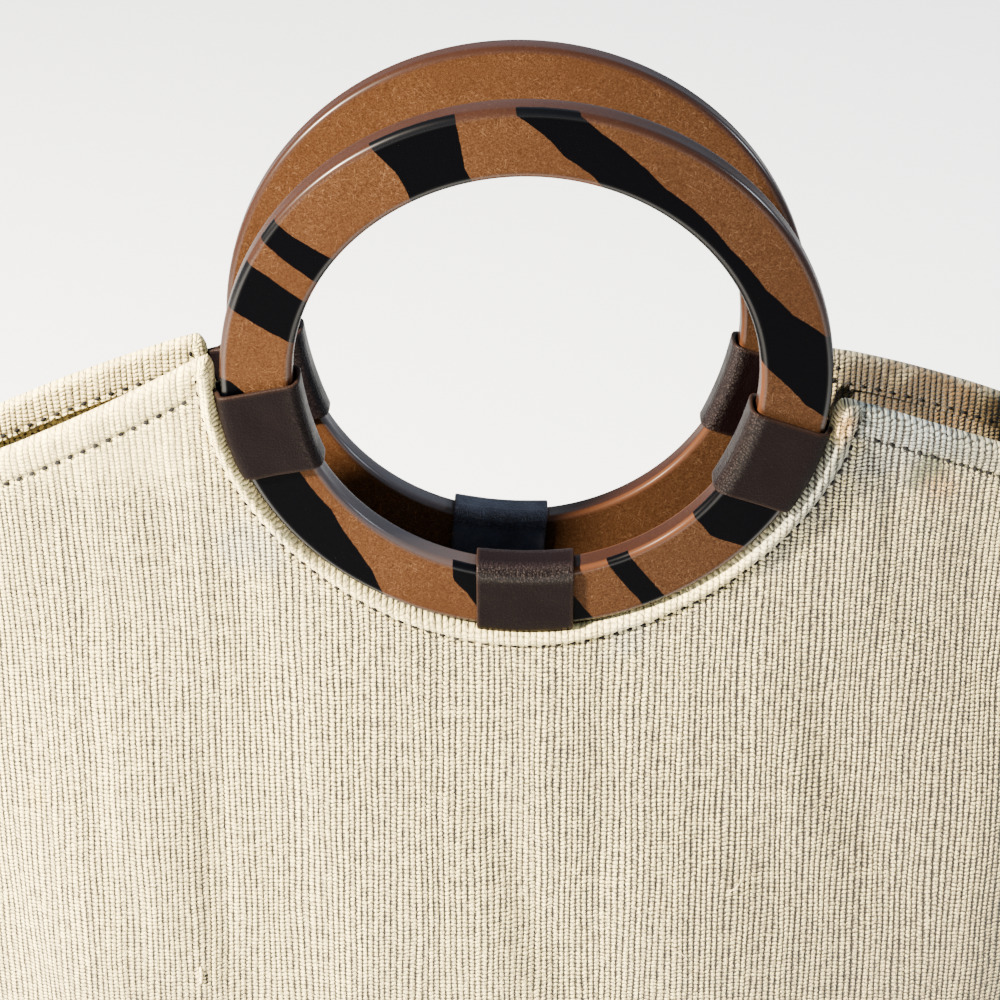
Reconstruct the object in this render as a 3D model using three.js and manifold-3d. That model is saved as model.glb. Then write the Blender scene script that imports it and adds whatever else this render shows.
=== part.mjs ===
// A canvas tote bag with two round wooden handles. Each handle is a flat ring that sits in a half-round
// cut-out of its canvas panel and is held there by three leather straps. Millimetres, +Z up, +X to the
// right, -Y to the front. The origin is on the floor, under the middle of the bag.
import * as THREE from "three";
import { mergeVertices } from "three/addons/utils/BufferGeometryUtils.js";
import Module from "manifold-3d";

const wasm = await Module();
wasm.setup();

// Handles: flat wooden rings
const HANDLE_DIAMETER = 165;
const HANDLE_WIDTH = 19.5; // of the wood, from its outer rim to its bore
const HANDLE_THICKNESS = 8;
const HANDLE_EDGE_ROUND = 1.2;
const HANDLE_SPACING = 40; // between the centres of the two rings, front to back
const HANDLE_HEIGHT = 330; // of the front ring's centre above the floor
const HANDLE_LEAN = 3; // degrees that the top of each ring leans outwards
const BACK_HANDLE_ACROSS = -2.5; // where the back ring hangs, compared with the front one
const BACK_HANDLE_DROP = 4;

// Canvas: two panels, sewn to each other at the sides and under the base
const CLOTH_WIDTH = 404; // of each panel, from one side seam to the other along the cloth
const CLOTH_THICKNESS = 1.8;
const HEM_THICKNESS = 4.8; // the cloth turned in and stitched down
const HEM_PUFF = 0.4; // how far the hem stands proud of the panel's face
const CUTOUT_SPACE = 0.8; // between the ring's rim and the cut-out
const CUTOUT_HEM = 8; // width of the hem round the cut-out
const SHOULDER_HEM = 11; // width of the hem along the shoulders
const SEAM_ALLOWANCE = 5; // cloth turned in at the side seams
const SIDE_HEIGHT = 280; // of the top of each side seam
const BELLY_DEPTH = 100; // of the filled bag, front to back, where it is deepest
const BASE_EDGE_ROUND = 5;

// Straps: strips of leather, each folded round a ring with its two ends sewn into the hem
const STRAP_WIDTH = 27.5;
const STRAP_THICKNESS = 1.4;
const STRAP_SLACK = 0.5; // between the leather and the wood
const STRAP_TAIL = 6; // length of the two ends inside the hem
const TAIL_THICKNESS = 2; // of the two ends, pressed together
const STRAP_BEND = 1.5; // radius inside the strap's folds

// What touches in the real bag keeps this gap
const GAP = 0.3;

// How finely round and curved shapes are divided
const RING_STEPS = 64;
const EDGE_STEPS = 2;
const PANEL_COLUMNS = 36;
const PANEL_ROW_HEIGHT = 19;
const STRAP_STEPS = 4;
const TAIL_STEPS = 2;
const ARC_STEPS = 28;
const SHOULDER_STEPS = 4;
const OUTLINE_STEPS = 320; // of a section while it is measured
const WIDTH_ERROR = 0.001;

// The filled bag's shape from the floor up. height is a share of HANDLE_HEIGHT. depth runs from 0 at the
// mouth's depth to 1 at BELLY_DEPTH. square is the superellipse power of the section: 2 is an ellipse.
const BODY_ROWS = [
  { height: 0.0, depth: 0.86, square: 4.6 },
  { height: 0.1, depth: 0.94, square: 4.0 },
  { height: 0.26, depth: 1.0, square: 3.2 },
  { height: 0.42, depth: 0.86, square: 2.8 },
  { height: 0.56, depth: 0.56, square: 2.5 },
  { height: 0.66, depth: 0.29, square: 2.35 },
  { height: 0.75, depth: 0.08, square: 2.2 },
  { height: 0.84, depth: 0.0, square: 2.15 },
  { height: 1.1, depth: 0.0, square: 2.15 },
];

// Soft folds of each panel. across is a share of the cloth's half width, seen from the front, and spread
// the share over which the fold fades. low and high are shares of HANDLE_HEIGHT. push is outwards, as a
// share of the belly's half depth. lean moves the fold across over its height.
const FOLDS = {
  front: [
    { across: -0.62, spread: 0.11, low: 0.1, high: 0.82, push: 0.06, lean: 0.1 },
    { across: -0.36, spread: 0.1, low: 0.05, high: 0.8, push: -0.07, lean: -0.06 },
    { across: 0.1, spread: 0.09, low: 0.15, high: 0.66, push: -0.05, lean: -0.16 },
    { across: 0.45, spread: 0.11, low: 0.08, high: 0.8, push: -0.06, lean: 0.06 },
    { across: 0.7, spread: 0.1, low: 0.1, high: 0.8, push: 0.05, lean: 0.05 },
  ],
  back: [
    { across: -0.55, spread: 0.12, low: 0.08, high: 0.8, push: -0.06, lean: -0.08 },
    { across: -0.15, spread: 0.12, low: 0.05, high: 0.64, push: -0.04, lean: 0.05 },
    { across: 0.3, spread: 0.11, low: 0.1, high: 0.78, push: -0.07, lean: 0.1 },
    { across: 0.66, spread: 0.1, low: 0.1, high: 0.8, push: 0.05, lean: 0.04 },
  ],
};

// The top edge beside each cut-out. rise is the corner's height above the ring's centre, flare how far
// the cut-out opens outwards there, and sag how far the edge hangs below a straight line to the side
// seam, all as shares of the ring's radius.
const SHOULDERS = {
  front: { left: { rise: 0.09, flare: 0.016, sag: 0.05 }, right: { rise: -0.05, flare: 0.05, sag: 0.01 } },
  back: { left: { rise: -0.04, flare: 0.09, sag: 0.02 }, right: { rise: -0.08, flare: 0.05, sag: 0.01 } },
};
const FLARE_FROM = 45; // degrees up from the lowest point of the cut-out, where it starts to open

// The straps' places round each ring, in degrees from its right side as the bag's front shows them
const STRAP_PLACES = {
  front: { left: 192, middle: 270, right: 340.5 },
  back: { left: 194.5, middle: 265.5, right: 342.5 },
};

// Sizes that follow
const RING_RADIUS = HANDLE_DIAMETER / 2;
const BORE_RADIUS = RING_RADIUS - HANDLE_WIDTH;
const CUTOUT_RADIUS = RING_RADIUS + CUTOUT_SPACE;
const LEAN = THREE.MathUtils.degToRad(HANDLE_LEAN);
const BELLY_HALF_DEPTH = BELLY_DEPTH / 2;
const CENTRES = {
  front: { x: 0, z: HANDLE_HEIGHT },
  back: { x: BACK_HANDLE_ACROSS, z: HANDLE_HEIGHT - BACK_HANDLE_DROP },
};
const TOP = HANDLE_HEIGHT + RING_RADIUS / 3; // above every edge that is cut

const canvas = new THREE.MeshStandardMaterial({ color: 0xd9cfb8, roughness: 0.95, metalness: 0 });
const wood = new THREE.MeshStandardMaterial({ color: 0x8a5228, roughness: 0.35, metalness: 0 });
const leather = new THREE.MeshStandardMaterial({ color: 0x33221f, roughness: 0.5, metalness: 0 });

// Turns a closed geometry into a solid that can be cut, facing outwards
function solidOf(geometry) {
  const bare = geometry.clone();
  bare.deleteAttribute("normal");
  bare.deleteAttribute("uv");
  const merged = mergeVertices(bare, 1e-4);
  const vertProperties = merged.attributes.position.array;
  const triVerts = new Uint32Array(merged.index.array);
  const solid = new wasm.Manifold(new wasm.Mesh({ numProp: 3, vertProperties, triVerts }));
  if (solid.volume() > 0) return solid;
  for (let i = 0; i < triVerts.length; i += 3) {
    [triVerts[i + 1], triVerts[i + 2]] = [triVerts[i + 2], triVerts[i + 1]];
  }
  return new wasm.Manifold(new wasm.Mesh({ numProp: 3, vertProperties, triVerts }));
}

function meshOf(name, solid, material) {
  const { vertProperties, triVerts } = solid.getMesh();
  const geometry = new THREE.BufferGeometry();
  geometry.setAttribute("position", new THREE.BufferAttribute(vertProperties, 3));
  geometry.setIndex(new THREE.BufferAttribute(triVerts, 1));
  geometry.computeVertexNormals();
  const mesh = new THREE.Mesh(geometry, material);
  mesh.name = name;
  return mesh;
}

// A solid through closed sections that all have the same number of points
function loft(sections) {
  const count = sections[0].length;
  const positions = [];
  const index = [];
  sections.forEach((section) => section.forEach((p) => positions.push(p.x, p.y, p.z)));
  for (let row = 0; row + 1 < sections.length; row++) {
    for (let i = 0; i < count; i++) {
      const next = (i + 1) % count;
      const [a, b] = [row * count + i, row * count + next];
      index.push(a, b, b + count, a, b + count, a + count);
    }
  }
  [0, sections.length - 1].forEach((row) => {
    const middle = new THREE.Vector3();
    sections[row].forEach((p) => middle.addScaledVector(p, 1 / count));
    const centre = positions.length / 3;
    positions.push(middle.x, middle.y, middle.z);
    for (let i = 0; i < count; i++) {
      const ends = [row * count + i, row * count + ((i + 1) % count)];
      if (row === 0) ends.reverse();
      index.push(centre, ...ends);
    }
  });
  const geometry = new THREE.BufferGeometry();
  geometry.setAttribute("position", new THREE.Float32BufferAttribute(positions, 3));
  geometry.setIndex(index);
  return solidOf(geometry);
}

// A smooth value between the rows of BODY_ROWS, at a height
function bodyValue(column, z) {
  const share = THREE.MathUtils.clamp(z / HANDLE_HEIGHT, 0, BODY_ROWS.at(-1).height);
  const next = Math.max(1, BODY_ROWS.findIndex((row) => row.height >= share));
  const rows = [next - 2, next - 1, next, next + 1].map(
    (i) => BODY_ROWS[THREE.MathUtils.clamp(i, 0, BODY_ROWS.length - 1)],
  );
  const [before, from, to, after] = rows;
  const step = to.height - from.height;
  const slopeFrom = (to[column] - before[column]) / Math.max(to.height - before.height, step);
  const slopeTo = (after[column] - from[column]) / Math.max(after.height - from.height, step);
  const t = (share - from.height) / step;
  return (
    from[column] * (1 + 2 * t) * (1 - t) ** 2 +
    to[column] * t * t * (3 - 2 * t) +
    slopeFrom * step * t * (1 - t) ** 2 -
    slopeTo * step * t * t * (1 - t)
  );
}

// The mouth leans with the rings, and the hem's middle lies in their middle planes
function halfDepthAt(z) {
  const plane = HANDLE_SPACING / 2 + (z - HANDLE_HEIGHT) * Math.tan(LEAN);
  const mouth = plane + HEM_THICKNESS / 2 - HEM_PUFF;
  return mouth + bodyValue("depth", z) * (BELLY_HALF_DEPTH - mouth);
}

// Points of half a superellipse, from its left end over its far side to its right end
function halfOutline(halfWidth, halfDepth, power) {
  return Array.from({ length: OUTLINE_STEPS + 1 }, (_, i) => {
    const angle = (i / OUTLINE_STEPS) * Math.PI;
    const [c, s] = [Math.cos(angle), Math.sin(angle)];
    const x = -Math.sign(c) * halfWidth * Math.abs(c) ** (2 / power);
    return new THREE.Vector2(x, halfDepth * Math.abs(s) ** (2 / power));
  });
}

function lengthOf(points) {
  return points.slice(1).reduce((sum, p, i) => sum + p.distanceTo(points[i]), 0);
}

// The bag's half width at a height, such that the panel's cloth keeps its width
const widths = new Map();
function halfWidthAt(z) {
  if (!widths.has(z)) {
    let [low, high] = [0, CLOTH_WIDTH / 2];
    while (high - low > WIDTH_ERROR) {
      const middle = (low + high) / 2;
      const cloth = lengthOf(halfOutline(middle, halfDepthAt(z), bodyValue("square", z)));
      if (cloth < CLOTH_WIDTH) low = middle;
      else high = middle;
    }
    widths.set(z, low);
  }
  return widths.get(z);
}

// How far the panel's outer face is from the bag's middle plane, without its folds
function faceDepth(x, z) {
  const power = bodyValue("square", z);
  const share = Math.min(1, Math.abs(x) / halfWidthAt(z));
  return halfDepthAt(z) * (1 - share ** power) ** (1 / power);
}

// How far the folds push the face outwards, at a share across the cloth from -1 to 1
function foldPush(side, across, z) {
  const share = z / HANDLE_HEIGHT;
  return FOLDS[side].reduce((sum, fold) => {
    const along = (share - fold.low) / (fold.high - fold.low);
    if (along <= 0 || along >= 1) return sum;
    const middle = fold.across + fold.lean * (along - 0.5);
    const away = (across - middle) / fold.spread;
    return sum + fold.push * BELLY_HALF_DEPTH * Math.exp(-away * away) * Math.sin(Math.PI * along) ** 2;
  }, 0);
}

// Half of a section, spread evenly over the cloth. inset moves its face, and seamInset its ends, inwards.
function halfSection(side, z, inset, seamInset) {
  const [halfWidth, halfDepth] = [halfWidthAt(z) - seamInset, halfDepthAt(z) - inset];
  const fine = halfOutline(halfWidth, halfDepth, bodyValue("square", z));
  const total = lengthOf(fine);
  const points = [];
  let [walked, at] = [0, 0];
  for (let i = 0; i <= PANEL_COLUMNS; i++) {
    const target = (i / PANEL_COLUMNS) * total;
    while (at + 2 < fine.length && walked + fine[at].distanceTo(fine[at + 1]) < target) {
      walked += fine[at].distanceTo(fine[at + 1]);
      at++;
    }
    const share = (target - walked) / fine[at].distanceTo(fine[at + 1]);
    const p = fine[at].clone().lerp(fine[at + 1], Math.min(1, share));
    const ends = i === 0 || i === PANEL_COLUMNS;
    const depth = ends ? 0 : p.y + foldPush(side, (2 * i) / PANEL_COLUMNS - 1, z);
    points.push(new THREE.Vector3(p.x, side === "front" ? -depth : depth, z));
  }
  return points;
}

// The whole bag as one block, up past its mouth, with its faces moved inwards by inset
function block(inset, seamInset, floor) {
  const rows = Math.round((TOP - BASE_EDGE_ROUND) / PANEL_ROW_HEIGHT);
  const sections = [];
  const section = (z, height, tuck) => {
    const front = halfSection("front", z, inset + tuck, seamInset + tuck);
    const back = halfSection("back", z, inset + tuck, seamInset + tuck).reverse();
    const loop = [...front, ...back.slice(1, -1)];
    loop.forEach((p) => p.setZ(height));
    sections.push(loop);
  };
  for (let i = 0; i < EDGE_STEPS + 1; i++) {
    const angle = (i / (EDGE_STEPS + 1)) * (Math.PI / 2);
    const tuck = BASE_EDGE_ROUND * (1 - Math.sin(angle));
    section(BASE_EDGE_ROUND, floor + (BASE_EDGE_ROUND - floor) * (1 - Math.cos(angle)), tuck);
  }
  for (let i = 0; i <= rows; i++) {
    const z = BASE_EDGE_ROUND + (i / rows) * (TOP - BASE_EDGE_ROUND);
    section(z, z, 0);
  }
  return loft(sections);
}

// The cut-out's radius at an angle in degrees from its lowest point, where the left side is negative
function cutoutRadius(side, degrees) {
  const { flare } = SHOULDERS[side][degrees < 0 ? "left" : "right"];
  const open = THREE.MathUtils.smoothstep(Math.abs(degrees), FLARE_FROM, 90);
  return CUTOUT_RADIUS + flare * RING_RADIUS * open;
}

// Everything above a panel's top edge, as a prism through the bag. shoulder and ring are how far the
// prism reaches below the shoulders and past the cut-out.
function aboveEdge(side, shoulder, ring) {
  const centre = CENTRES[side];
  const far = CLOTH_WIDTH;
  const seam = halfWidthAt(SIDE_HEIGHT);
  const points = [];
  ["left", "right"].forEach((hand) => {
    const sign = hand === "left" ? -1 : 1;
    const { rise, sag } = SHOULDERS[side][hand];
    const from = new THREE.Vector2(centre.x + sign * cutoutRadius(side, sign * 90), centre.z);
    from.y += rise * RING_RADIUS;
    const to = new THREE.Vector2(sign * seam, SIDE_HEIGHT);
    const drop = (shoulder * from.distanceTo(to)) / Math.abs(to.x - from.x);
    const edge = Array.from({ length: SHOULDER_STEPS + 1 }, (_, i) => {
      const share = i / SHOULDER_STEPS;
      const hang = 4 * share * (1 - share) * sag * RING_RADIUS;
      return from.clone().lerp(to, share).add(new THREE.Vector2(0, -hang - drop));
    });
    edge.push(new THREE.Vector2(sign * far, edge.at(-1).y));
    if (hand === "left") points.push(...edge.reverse());
    else points.push(...edge);
  });
  const roof = [...points, new THREE.Vector2(far, 2 * TOP), new THREE.Vector2(-far, 2 * TOP)];
  const slot = Array.from({ length: ARC_STEPS + 1 }, (_, i) => {
    const degrees = (i / ARC_STEPS) * 180 - 90;
    const angle = THREE.MathUtils.degToRad(degrees);
    const radius = cutoutRadius(side, degrees) + ring;
    return new THREE.Vector2(centre.x + radius * Math.sin(angle), centre.z - radius * Math.cos(angle));
  });
  slot.push(new THREE.Vector2(slot.at(-1).x, 2 * TOP), new THREE.Vector2(slot[0].x, 2 * TOP));
  const solids = [roof, slot].map((outline) => {
    const depth = BELLY_DEPTH;
    const prism = new THREE.ExtrudeGeometry(new THREE.Shape(outline), { depth, bevelEnabled: false });
    prism.rotateX(Math.PI / 2);
    prism.translate(0, side === "front" ? 0 : depth, 0);
    return solidOf(prism);
  });
  return solids[0].add(solids[1]);
}

// Everything on one side of the seams' plane
function halfSpace(side) {
  const box = new THREE.BoxGeometry(3 * CLOTH_WIDTH, BELLY_DEPTH, 4 * TOP);
  box.translate(0, (side === "front" ? -1 : 1) * (BELLY_DEPTH / 2 + GAP / 2), 0);
  return solidOf(box);
}

const outside = block(0, 0, 0);
const inside = block(CLOTH_THICKNESS, SEAM_ALLOWANCE, CLOTH_THICKNESS);
const hemOutside = block(-HEM_PUFF, -HEM_PUFF, -HEM_PUFF);
const hemInside = block(HEM_THICKNESS - HEM_PUFF, 2 * SEAM_ALLOWANCE, HEM_THICKNESS);

function panel(side) {
  const hem = hemOutside.subtract(hemInside).intersect(aboveEdge(side, SHOULDER_HEM, CUTOUT_HEM));
  const wall = outside.subtract(inside).add(hem);
  const cut = wall.intersect(halfSpace(side)).subtract(aboveEdge(side, 0, 0));
  const pockets = Object.values(STRAP_PLACES[side]).map((degrees) => strapBlock(side, degrees, GAP, true));
  const sewn = pockets.reduce((cloth, pocket) => cloth.subtract(pocket), cut);
  return meshOf(`canvas_${side}`, sewn, canvas);
}

// A flat ring with rounded edges, turned about the depth axis
function handleRing(name) {
  const half = HANDLE_THICKNESS / 2;
  const corners = [
    { r: RING_RADIUS, y: half, from: 0 },
    { r: BORE_RADIUS, y: half, from: 90 },
    { r: BORE_RADIUS, y: -half, from: 180 },
    { r: RING_RADIUS, y: -half, from: 270 },
  ];
  const profile = corners.flatMap(({ r, y, from }) => {
    const centreR = r - Math.sign(r - (RING_RADIUS + BORE_RADIUS) / 2) * HANDLE_EDGE_ROUND;
    const centreY = y - Math.sign(y) * HANDLE_EDGE_ROUND;
    return Array.from({ length: EDGE_STEPS + 1 }, (_, i) => {
      const angle = THREE.MathUtils.degToRad(from + (i / EDGE_STEPS) * 90);
      return new THREE.Vector2(
        centreR + HANDLE_EDGE_ROUND * Math.cos(angle),
        centreY + HANDLE_EDGE_ROUND * Math.sin(angle),
      );
    });
  });
  profile.push(profile[0].clone());
  const solid = solidOf(new THREE.LatheGeometry(profile, RING_STEPS));
  return meshOf(name, solid, wood);
}

// A box with rounded edges in the plane of a strap's section, as points [along the radius, y]
function roundedBox(low, high, half, radius) {
  const corners = [
    [high - radius, half - radius, 0],
    [low + radius, half - radius, 90],
    [low + radius, -half + radius, 180],
    [high - radius, -half + radius, 270],
  ];
  return corners.flatMap(([r, y, from]) =>
    Array.from({ length: EDGE_STEPS + 1 }, (_, i) => {
      const angle = THREE.MathUtils.degToRad(from + (i / EDGE_STEPS) * 90);
      return [r + radius * Math.cos(angle), y + radius * Math.sin(angle)];
    }),
  );
}

// Where a ring sits in the bag. Its own -Y side faces away from the bag.
function handleFrame(side) {
  const sign = side === "front" ? 1 : -1;
  const turn = new THREE.Euler(sign * LEAN, 0, side === "front" ? 0 : Math.PI);
  const { x, z } = CENTRES[side];
  const centre = new THREE.Vector3(x, (-sign * HANDLE_SPACING) / 2, z);
  const whole = new THREE.Vector3(1, 1, 1);
  return new THREE.Matrix4().compose(centre, new THREE.Quaternion().setFromEuler(turn), whole);
}

// Gives a strap's points, from a radius, a depth and a place across its width, in the ring's frame
function strapPlacer(side, degrees) {
  const own = THREE.MathUtils.degToRad(side === "front" ? degrees : 180 - degrees);
  const turn = new THREE.Matrix4().makeRotationY(-own);
  return (r, y, w) => new THREE.Vector3(r, y, w).applyMatrix4(turn);
}

// The section of a strap's loop at a place across its width, thickness outside the space that it encloses
function loopSection(w, thickness, place) {
  const low = Math.sqrt(BORE_RADIUS ** 2 - w ** 2) - STRAP_SLACK - thickness;
  const high = Math.sqrt(RING_RADIUS ** 2 - w ** 2) + STRAP_SLACK + thickness;
  const half = HANDLE_THICKNESS / 2 + STRAP_SLACK + thickness;
  return roundedBox(low, high, half, STRAP_BEND + thickness).map(([r, y]) => place(r, y, w));
}

// Places across a strap, from one edge to the other
function strapSteps(width) {
  return Array.from({ length: STRAP_STEPS + 1 }, (_, i) => (i / STRAP_STEPS - 0.5) * width);
}

// The outer shape of a strap: a block round the ring's section and the tail that goes into the hem. grow
// makes it thicker all over. It is in the ring's frame, or in the bag's.
function strapBlock(side, degrees, grow, inBag) {
  const frame = handleFrame(side);
  const place = strapPlacer(side, degrees);
  const finish = (sections) =>
    loft(inBag ? sections.map((section) => section.map((p) => p.applyMatrix4(frame))) : sections);
  // The hem's middle surface, as a depth in the ring's frame
  const hemMiddle = (r, w) => {
    const p = place(r, 0, w).applyMatrix4(frame);
    const depth = faceDepth(p.x, p.z) + HEM_PUFF - HEM_THICKNESS / 2;
    return Math.abs(p.y) - depth;
  };
  const across = strapSteps(STRAP_WIDTH + 2 * grow);
  const loop = across.map((w) => loopSection(w, STRAP_THICKNESS + grow, place));
  const end = cutoutRadius(side, degrees - 270) + STRAP_TAIL + grow;
  const tail = across.map((w) => {
    const start = Math.sqrt(RING_RADIUS ** 2 - w ** 2) + STRAP_SLACK + GAP;
    const steps = Array.from({ length: TAIL_STEPS + 1 }, (_, j) => start + (j / TAIL_STEPS) * (end - start));
    const half = TAIL_THICKNESS / 2 + grow;
    const outer = steps.map((r) => place(r, hemMiddle(r, w) - half, w));
    const inner = steps.map((r) => place(r, hemMiddle(r, w) + half, w));
    return [...outer, ...inner.reverse()];
  });
  return finish(loop).add(finish(tail));
}

// A leather strap round its ring, in the ring's frame
function strap(name, side, degrees) {
  const place = strapPlacer(side, degrees);
  const space = strapSteps(STRAP_WIDTH + 2 * GAP).map((w) => loopSection(w, 0, place));
  return meshOf(name, strapBlock(side, degrees, 0, false).subtract(loft(space)), leather);
}

function handle(side) {
  const group = new THREE.Group();
  group.add(handleRing(`handle_${side}`));
  Object.entries(STRAP_PLACES[side]).forEach(([place, degrees]) => {
    group.add(strap(`strap_${side}_${place}`, side, degrees));
  });
  group.applyMatrix4(handleFrame(side));
  return group;
}

const bag = new THREE.Group();
["front", "back"].forEach((side) => bag.add(panel(side), handle(side)));

export default bag;
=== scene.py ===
import math

import bpy
import numpy as np
from mathutils import Matrix, Vector, noise


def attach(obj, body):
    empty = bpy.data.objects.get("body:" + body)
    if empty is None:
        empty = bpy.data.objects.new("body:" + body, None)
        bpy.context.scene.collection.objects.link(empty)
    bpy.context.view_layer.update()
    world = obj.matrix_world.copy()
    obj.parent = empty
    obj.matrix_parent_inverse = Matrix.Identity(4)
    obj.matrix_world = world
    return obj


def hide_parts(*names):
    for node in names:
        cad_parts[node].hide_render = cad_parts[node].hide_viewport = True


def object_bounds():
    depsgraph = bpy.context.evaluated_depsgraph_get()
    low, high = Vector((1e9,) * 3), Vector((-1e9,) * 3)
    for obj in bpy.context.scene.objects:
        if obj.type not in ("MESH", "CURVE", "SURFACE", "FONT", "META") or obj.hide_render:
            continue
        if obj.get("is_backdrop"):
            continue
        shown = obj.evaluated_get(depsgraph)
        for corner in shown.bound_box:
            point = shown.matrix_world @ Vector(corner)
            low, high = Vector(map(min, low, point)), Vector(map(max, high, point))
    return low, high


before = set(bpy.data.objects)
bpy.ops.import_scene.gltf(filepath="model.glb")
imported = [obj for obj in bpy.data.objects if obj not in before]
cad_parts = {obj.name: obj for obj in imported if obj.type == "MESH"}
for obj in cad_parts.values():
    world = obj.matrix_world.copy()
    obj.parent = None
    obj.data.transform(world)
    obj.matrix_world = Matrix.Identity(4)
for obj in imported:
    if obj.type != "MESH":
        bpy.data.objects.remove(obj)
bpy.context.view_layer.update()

# The body of the bag: two panels of heavy ribbed cotton, its ribs upright, sewn to each other inside out
# at the sides and under the base. Each panel is hollowed at the top for its ring, and the raw edges
# there and along the shoulders are turned in and stitched down. Sizes are in millimetres.
MM = 0.001
CLOTH_WIDTH = 404.0
CLOTH_THICKNESS = 1.8
HEM_THICKNESS = 4.8
HEM_PUFF = 0.4
CUTOUT_HEM = 7.6
SHOULDER_HEM = 11.0
CUTOUT_STITCH = 4.8
STITCH_PITCH = 4.2
GROOVE = 0.95
SHOULDER_STITCH = 9.0
SIDE_HEIGHT = 280.0
BELLY_HALF_DEPTH = 50.0
BASE_ROUND = 5.0
BASE_WALK = 52.0
HANDLE_HEIGHT = 330.0
HANDLE_SPACING = 40.0
RING_RADIUS = 82.5
BORE_RADIUS = 63.0
CUTOUT_RADIUS = 83.3
LEAN = math.radians(3)
CENTRES = {"front": (0.0, 330.0), "back": (-2.5, 326.0)}
# height as a share of HANDLE_HEIGHT, depth between mouth and belly, squareness of the section
BODY = np.array([
    (0.0, 0.86, 4.6), (0.1, 0.94, 4.0), (0.26, 1.0, 3.2), (0.42, 0.86, 2.8), (0.56, 0.56, 2.5),
    (0.66, 0.29, 2.35), (0.75, 0.08, 2.2), (0.84, 0.0, 2.15), (1.1, 0.0, 2.15),
])
# across, spread, low, high, push, lean: the broad folds of each panel
FOLDS = {
    "front": [
        (-0.62, 0.11, 0.1, 0.82, 0.06, 0.1), (-0.36, 0.1, 0.05, 0.8, -0.07, -0.06),
        (0.1, 0.09, 0.15, 0.66, -0.05, -0.16), (0.45, 0.11, 0.08, 0.8, -0.06, 0.06),
        (0.7, 0.1, 0.1, 0.8, 0.05, 0.05),
    ],
    "back": [
        (-0.55, 0.12, 0.08, 0.8, -0.06, -0.08), (-0.15, 0.12, 0.05, 0.64, -0.04, 0.05),
        (0.3, 0.11, 0.1, 0.78, -0.07, 0.1), (0.66, 0.1, 0.1, 0.8, 0.05, 0.04),
    ],
}
# from (s, z) to (s, z), half width, depth: narrow creases and pull lines
CREASES = {
    "front": [
        (-17, 200, 16, 132, 8, -1.9), (-127, 208, -118, 122, 8, -1.6), (-160, 200, -148, 96, 8, -1.2),
        (-91, 208, -84, 118, 6, -1.6), (-84, 290, -75, 222, 7, -1.5), (48, 204, 88, 158, 15, -1.7),
        (130, 300, 142, 190, 12, -1.5), (-142, 300, -150, 230, 8, 1.1), (8, 150, 60, 100, 9, -1.2),
        (-112, 305, -96, 252, 7, -1.4), (-96, 318, -84, 270, 6, 0.9), (-128, 262, -100, 236, 9, -1.2),
        (64, 250, 96, 150, 9, 1.3), (80, 236, 118, 140, 10, -1.4), (104, 300, 118, 236, 7, -1.3),
        (92, 318, 104, 262, 6, 0.9), (20, 232, 26, 150, 8, -0.9), (-60, 236, -52, 150, 9, 1.1),
        (152, 240, 160, 120, 9, -1.3), (-30, 110, 40, 60, 10, 1.2), (60, 90, 150, 50, 11, -1.2),
        (-170, 110, -90, 56, 11, 0.8), (178, 270, 184, 90, 7, 1.0), (-180, 262, -186, 80, 7, 0.9),
    ],
    "back": [
        (-110, 300, -98, 240, 7, -1.2), (108, 300, 96, 240, 7, -1.1), (-20, 220, 10, 120, 9, 0.8),
        (60, 236, 88, 130, 9, -0.9), (-70, 230, -92, 120, 9, 0.9), (150, 230, 160, 90, 10, 0.9),
        (-150, 230, -162, 90, 10, -0.9), (-40, 100, 50, 60, 11, -0.9), (178, 262, 186, 80, 7, 1.0),
        (-180, 262, -186, 90, 7, 0.9), (-150, 80, -80, 50, 10, 0.8),
    ],
}
# rise, flare and sag of the edge beside each cut-out, as shares of the ring's radius
SHOULDERS = {
    ("front", -1): (0.09, 0.016, 0.05), ("front", 1): (-0.07, 0.014, -0.01),
    ("back", -1): (-0.03, 0.07, -0.035), ("back", 1): (-0.08, 0.05, -0.065),
}
STRAP_PLACES = {"front": (192.0, 270.0, 340.5), "back": (194.5, 265.5, 342.5)}
OUTLINE = 0.5 * math.pi * (1 - np.cos(np.linspace(0, math.pi, 361)))


def smooth(low, high, value):
    t = np.clip((value - low) / (high - low), 0, 1)
    return t * t * (3 - 2 * t)


def body_value(column, z):
    share = np.clip(z / HANDLE_HEIGHT, 0, BODY[-1, 0])
    top = np.clip(np.searchsorted(BODY[:, 0], share), 1, len(BODY) - 1)
    rows = [np.clip(top + k, 0, len(BODY) - 1) for k in (-2, -1, 0, 1)]
    (h0, h1, h2, h3), (v0, v1, v2, v3) = (BODY[rows, 0], BODY[rows, column])
    step = h2 - h1
    slope_low = (v2 - v0) / np.maximum(h2 - h0, step)
    slope_high = (v3 - v1) / np.maximum(h3 - h1, step)
    t = (share - h1) / step
    return (
        v1 * (1 + 2 * t) * (1 - t) ** 2 + v2 * t * t * (3 - 2 * t)
        + slope_low * step * t * (1 - t) ** 2 - slope_high * step * t * t * (1 - t)
    )


def half_depth(z):
    mouth = HANDLE_SPACING / 2 + (z - HANDLE_HEIGHT) * math.tan(LEAN) + HEM_THICKNESS / 2 - HEM_PUFF
    return mouth + body_value(1, z) * (BELLY_HALF_DEPTH - mouth)


def outline(width, depth, power):
    c, s = np.cos(OUTLINE), np.maximum(np.sin(OUTLINE), 0)
    x = -np.sign(c) * width * np.abs(c) ** (2 / power)
    y = depth * s ** (2 / power)
    walked = np.cumsum(np.hypot(np.diff(x), np.diff(y)), axis=1)
    return x, y, np.concatenate([np.zeros((len(x), 1)), walked], axis=1)


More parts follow.
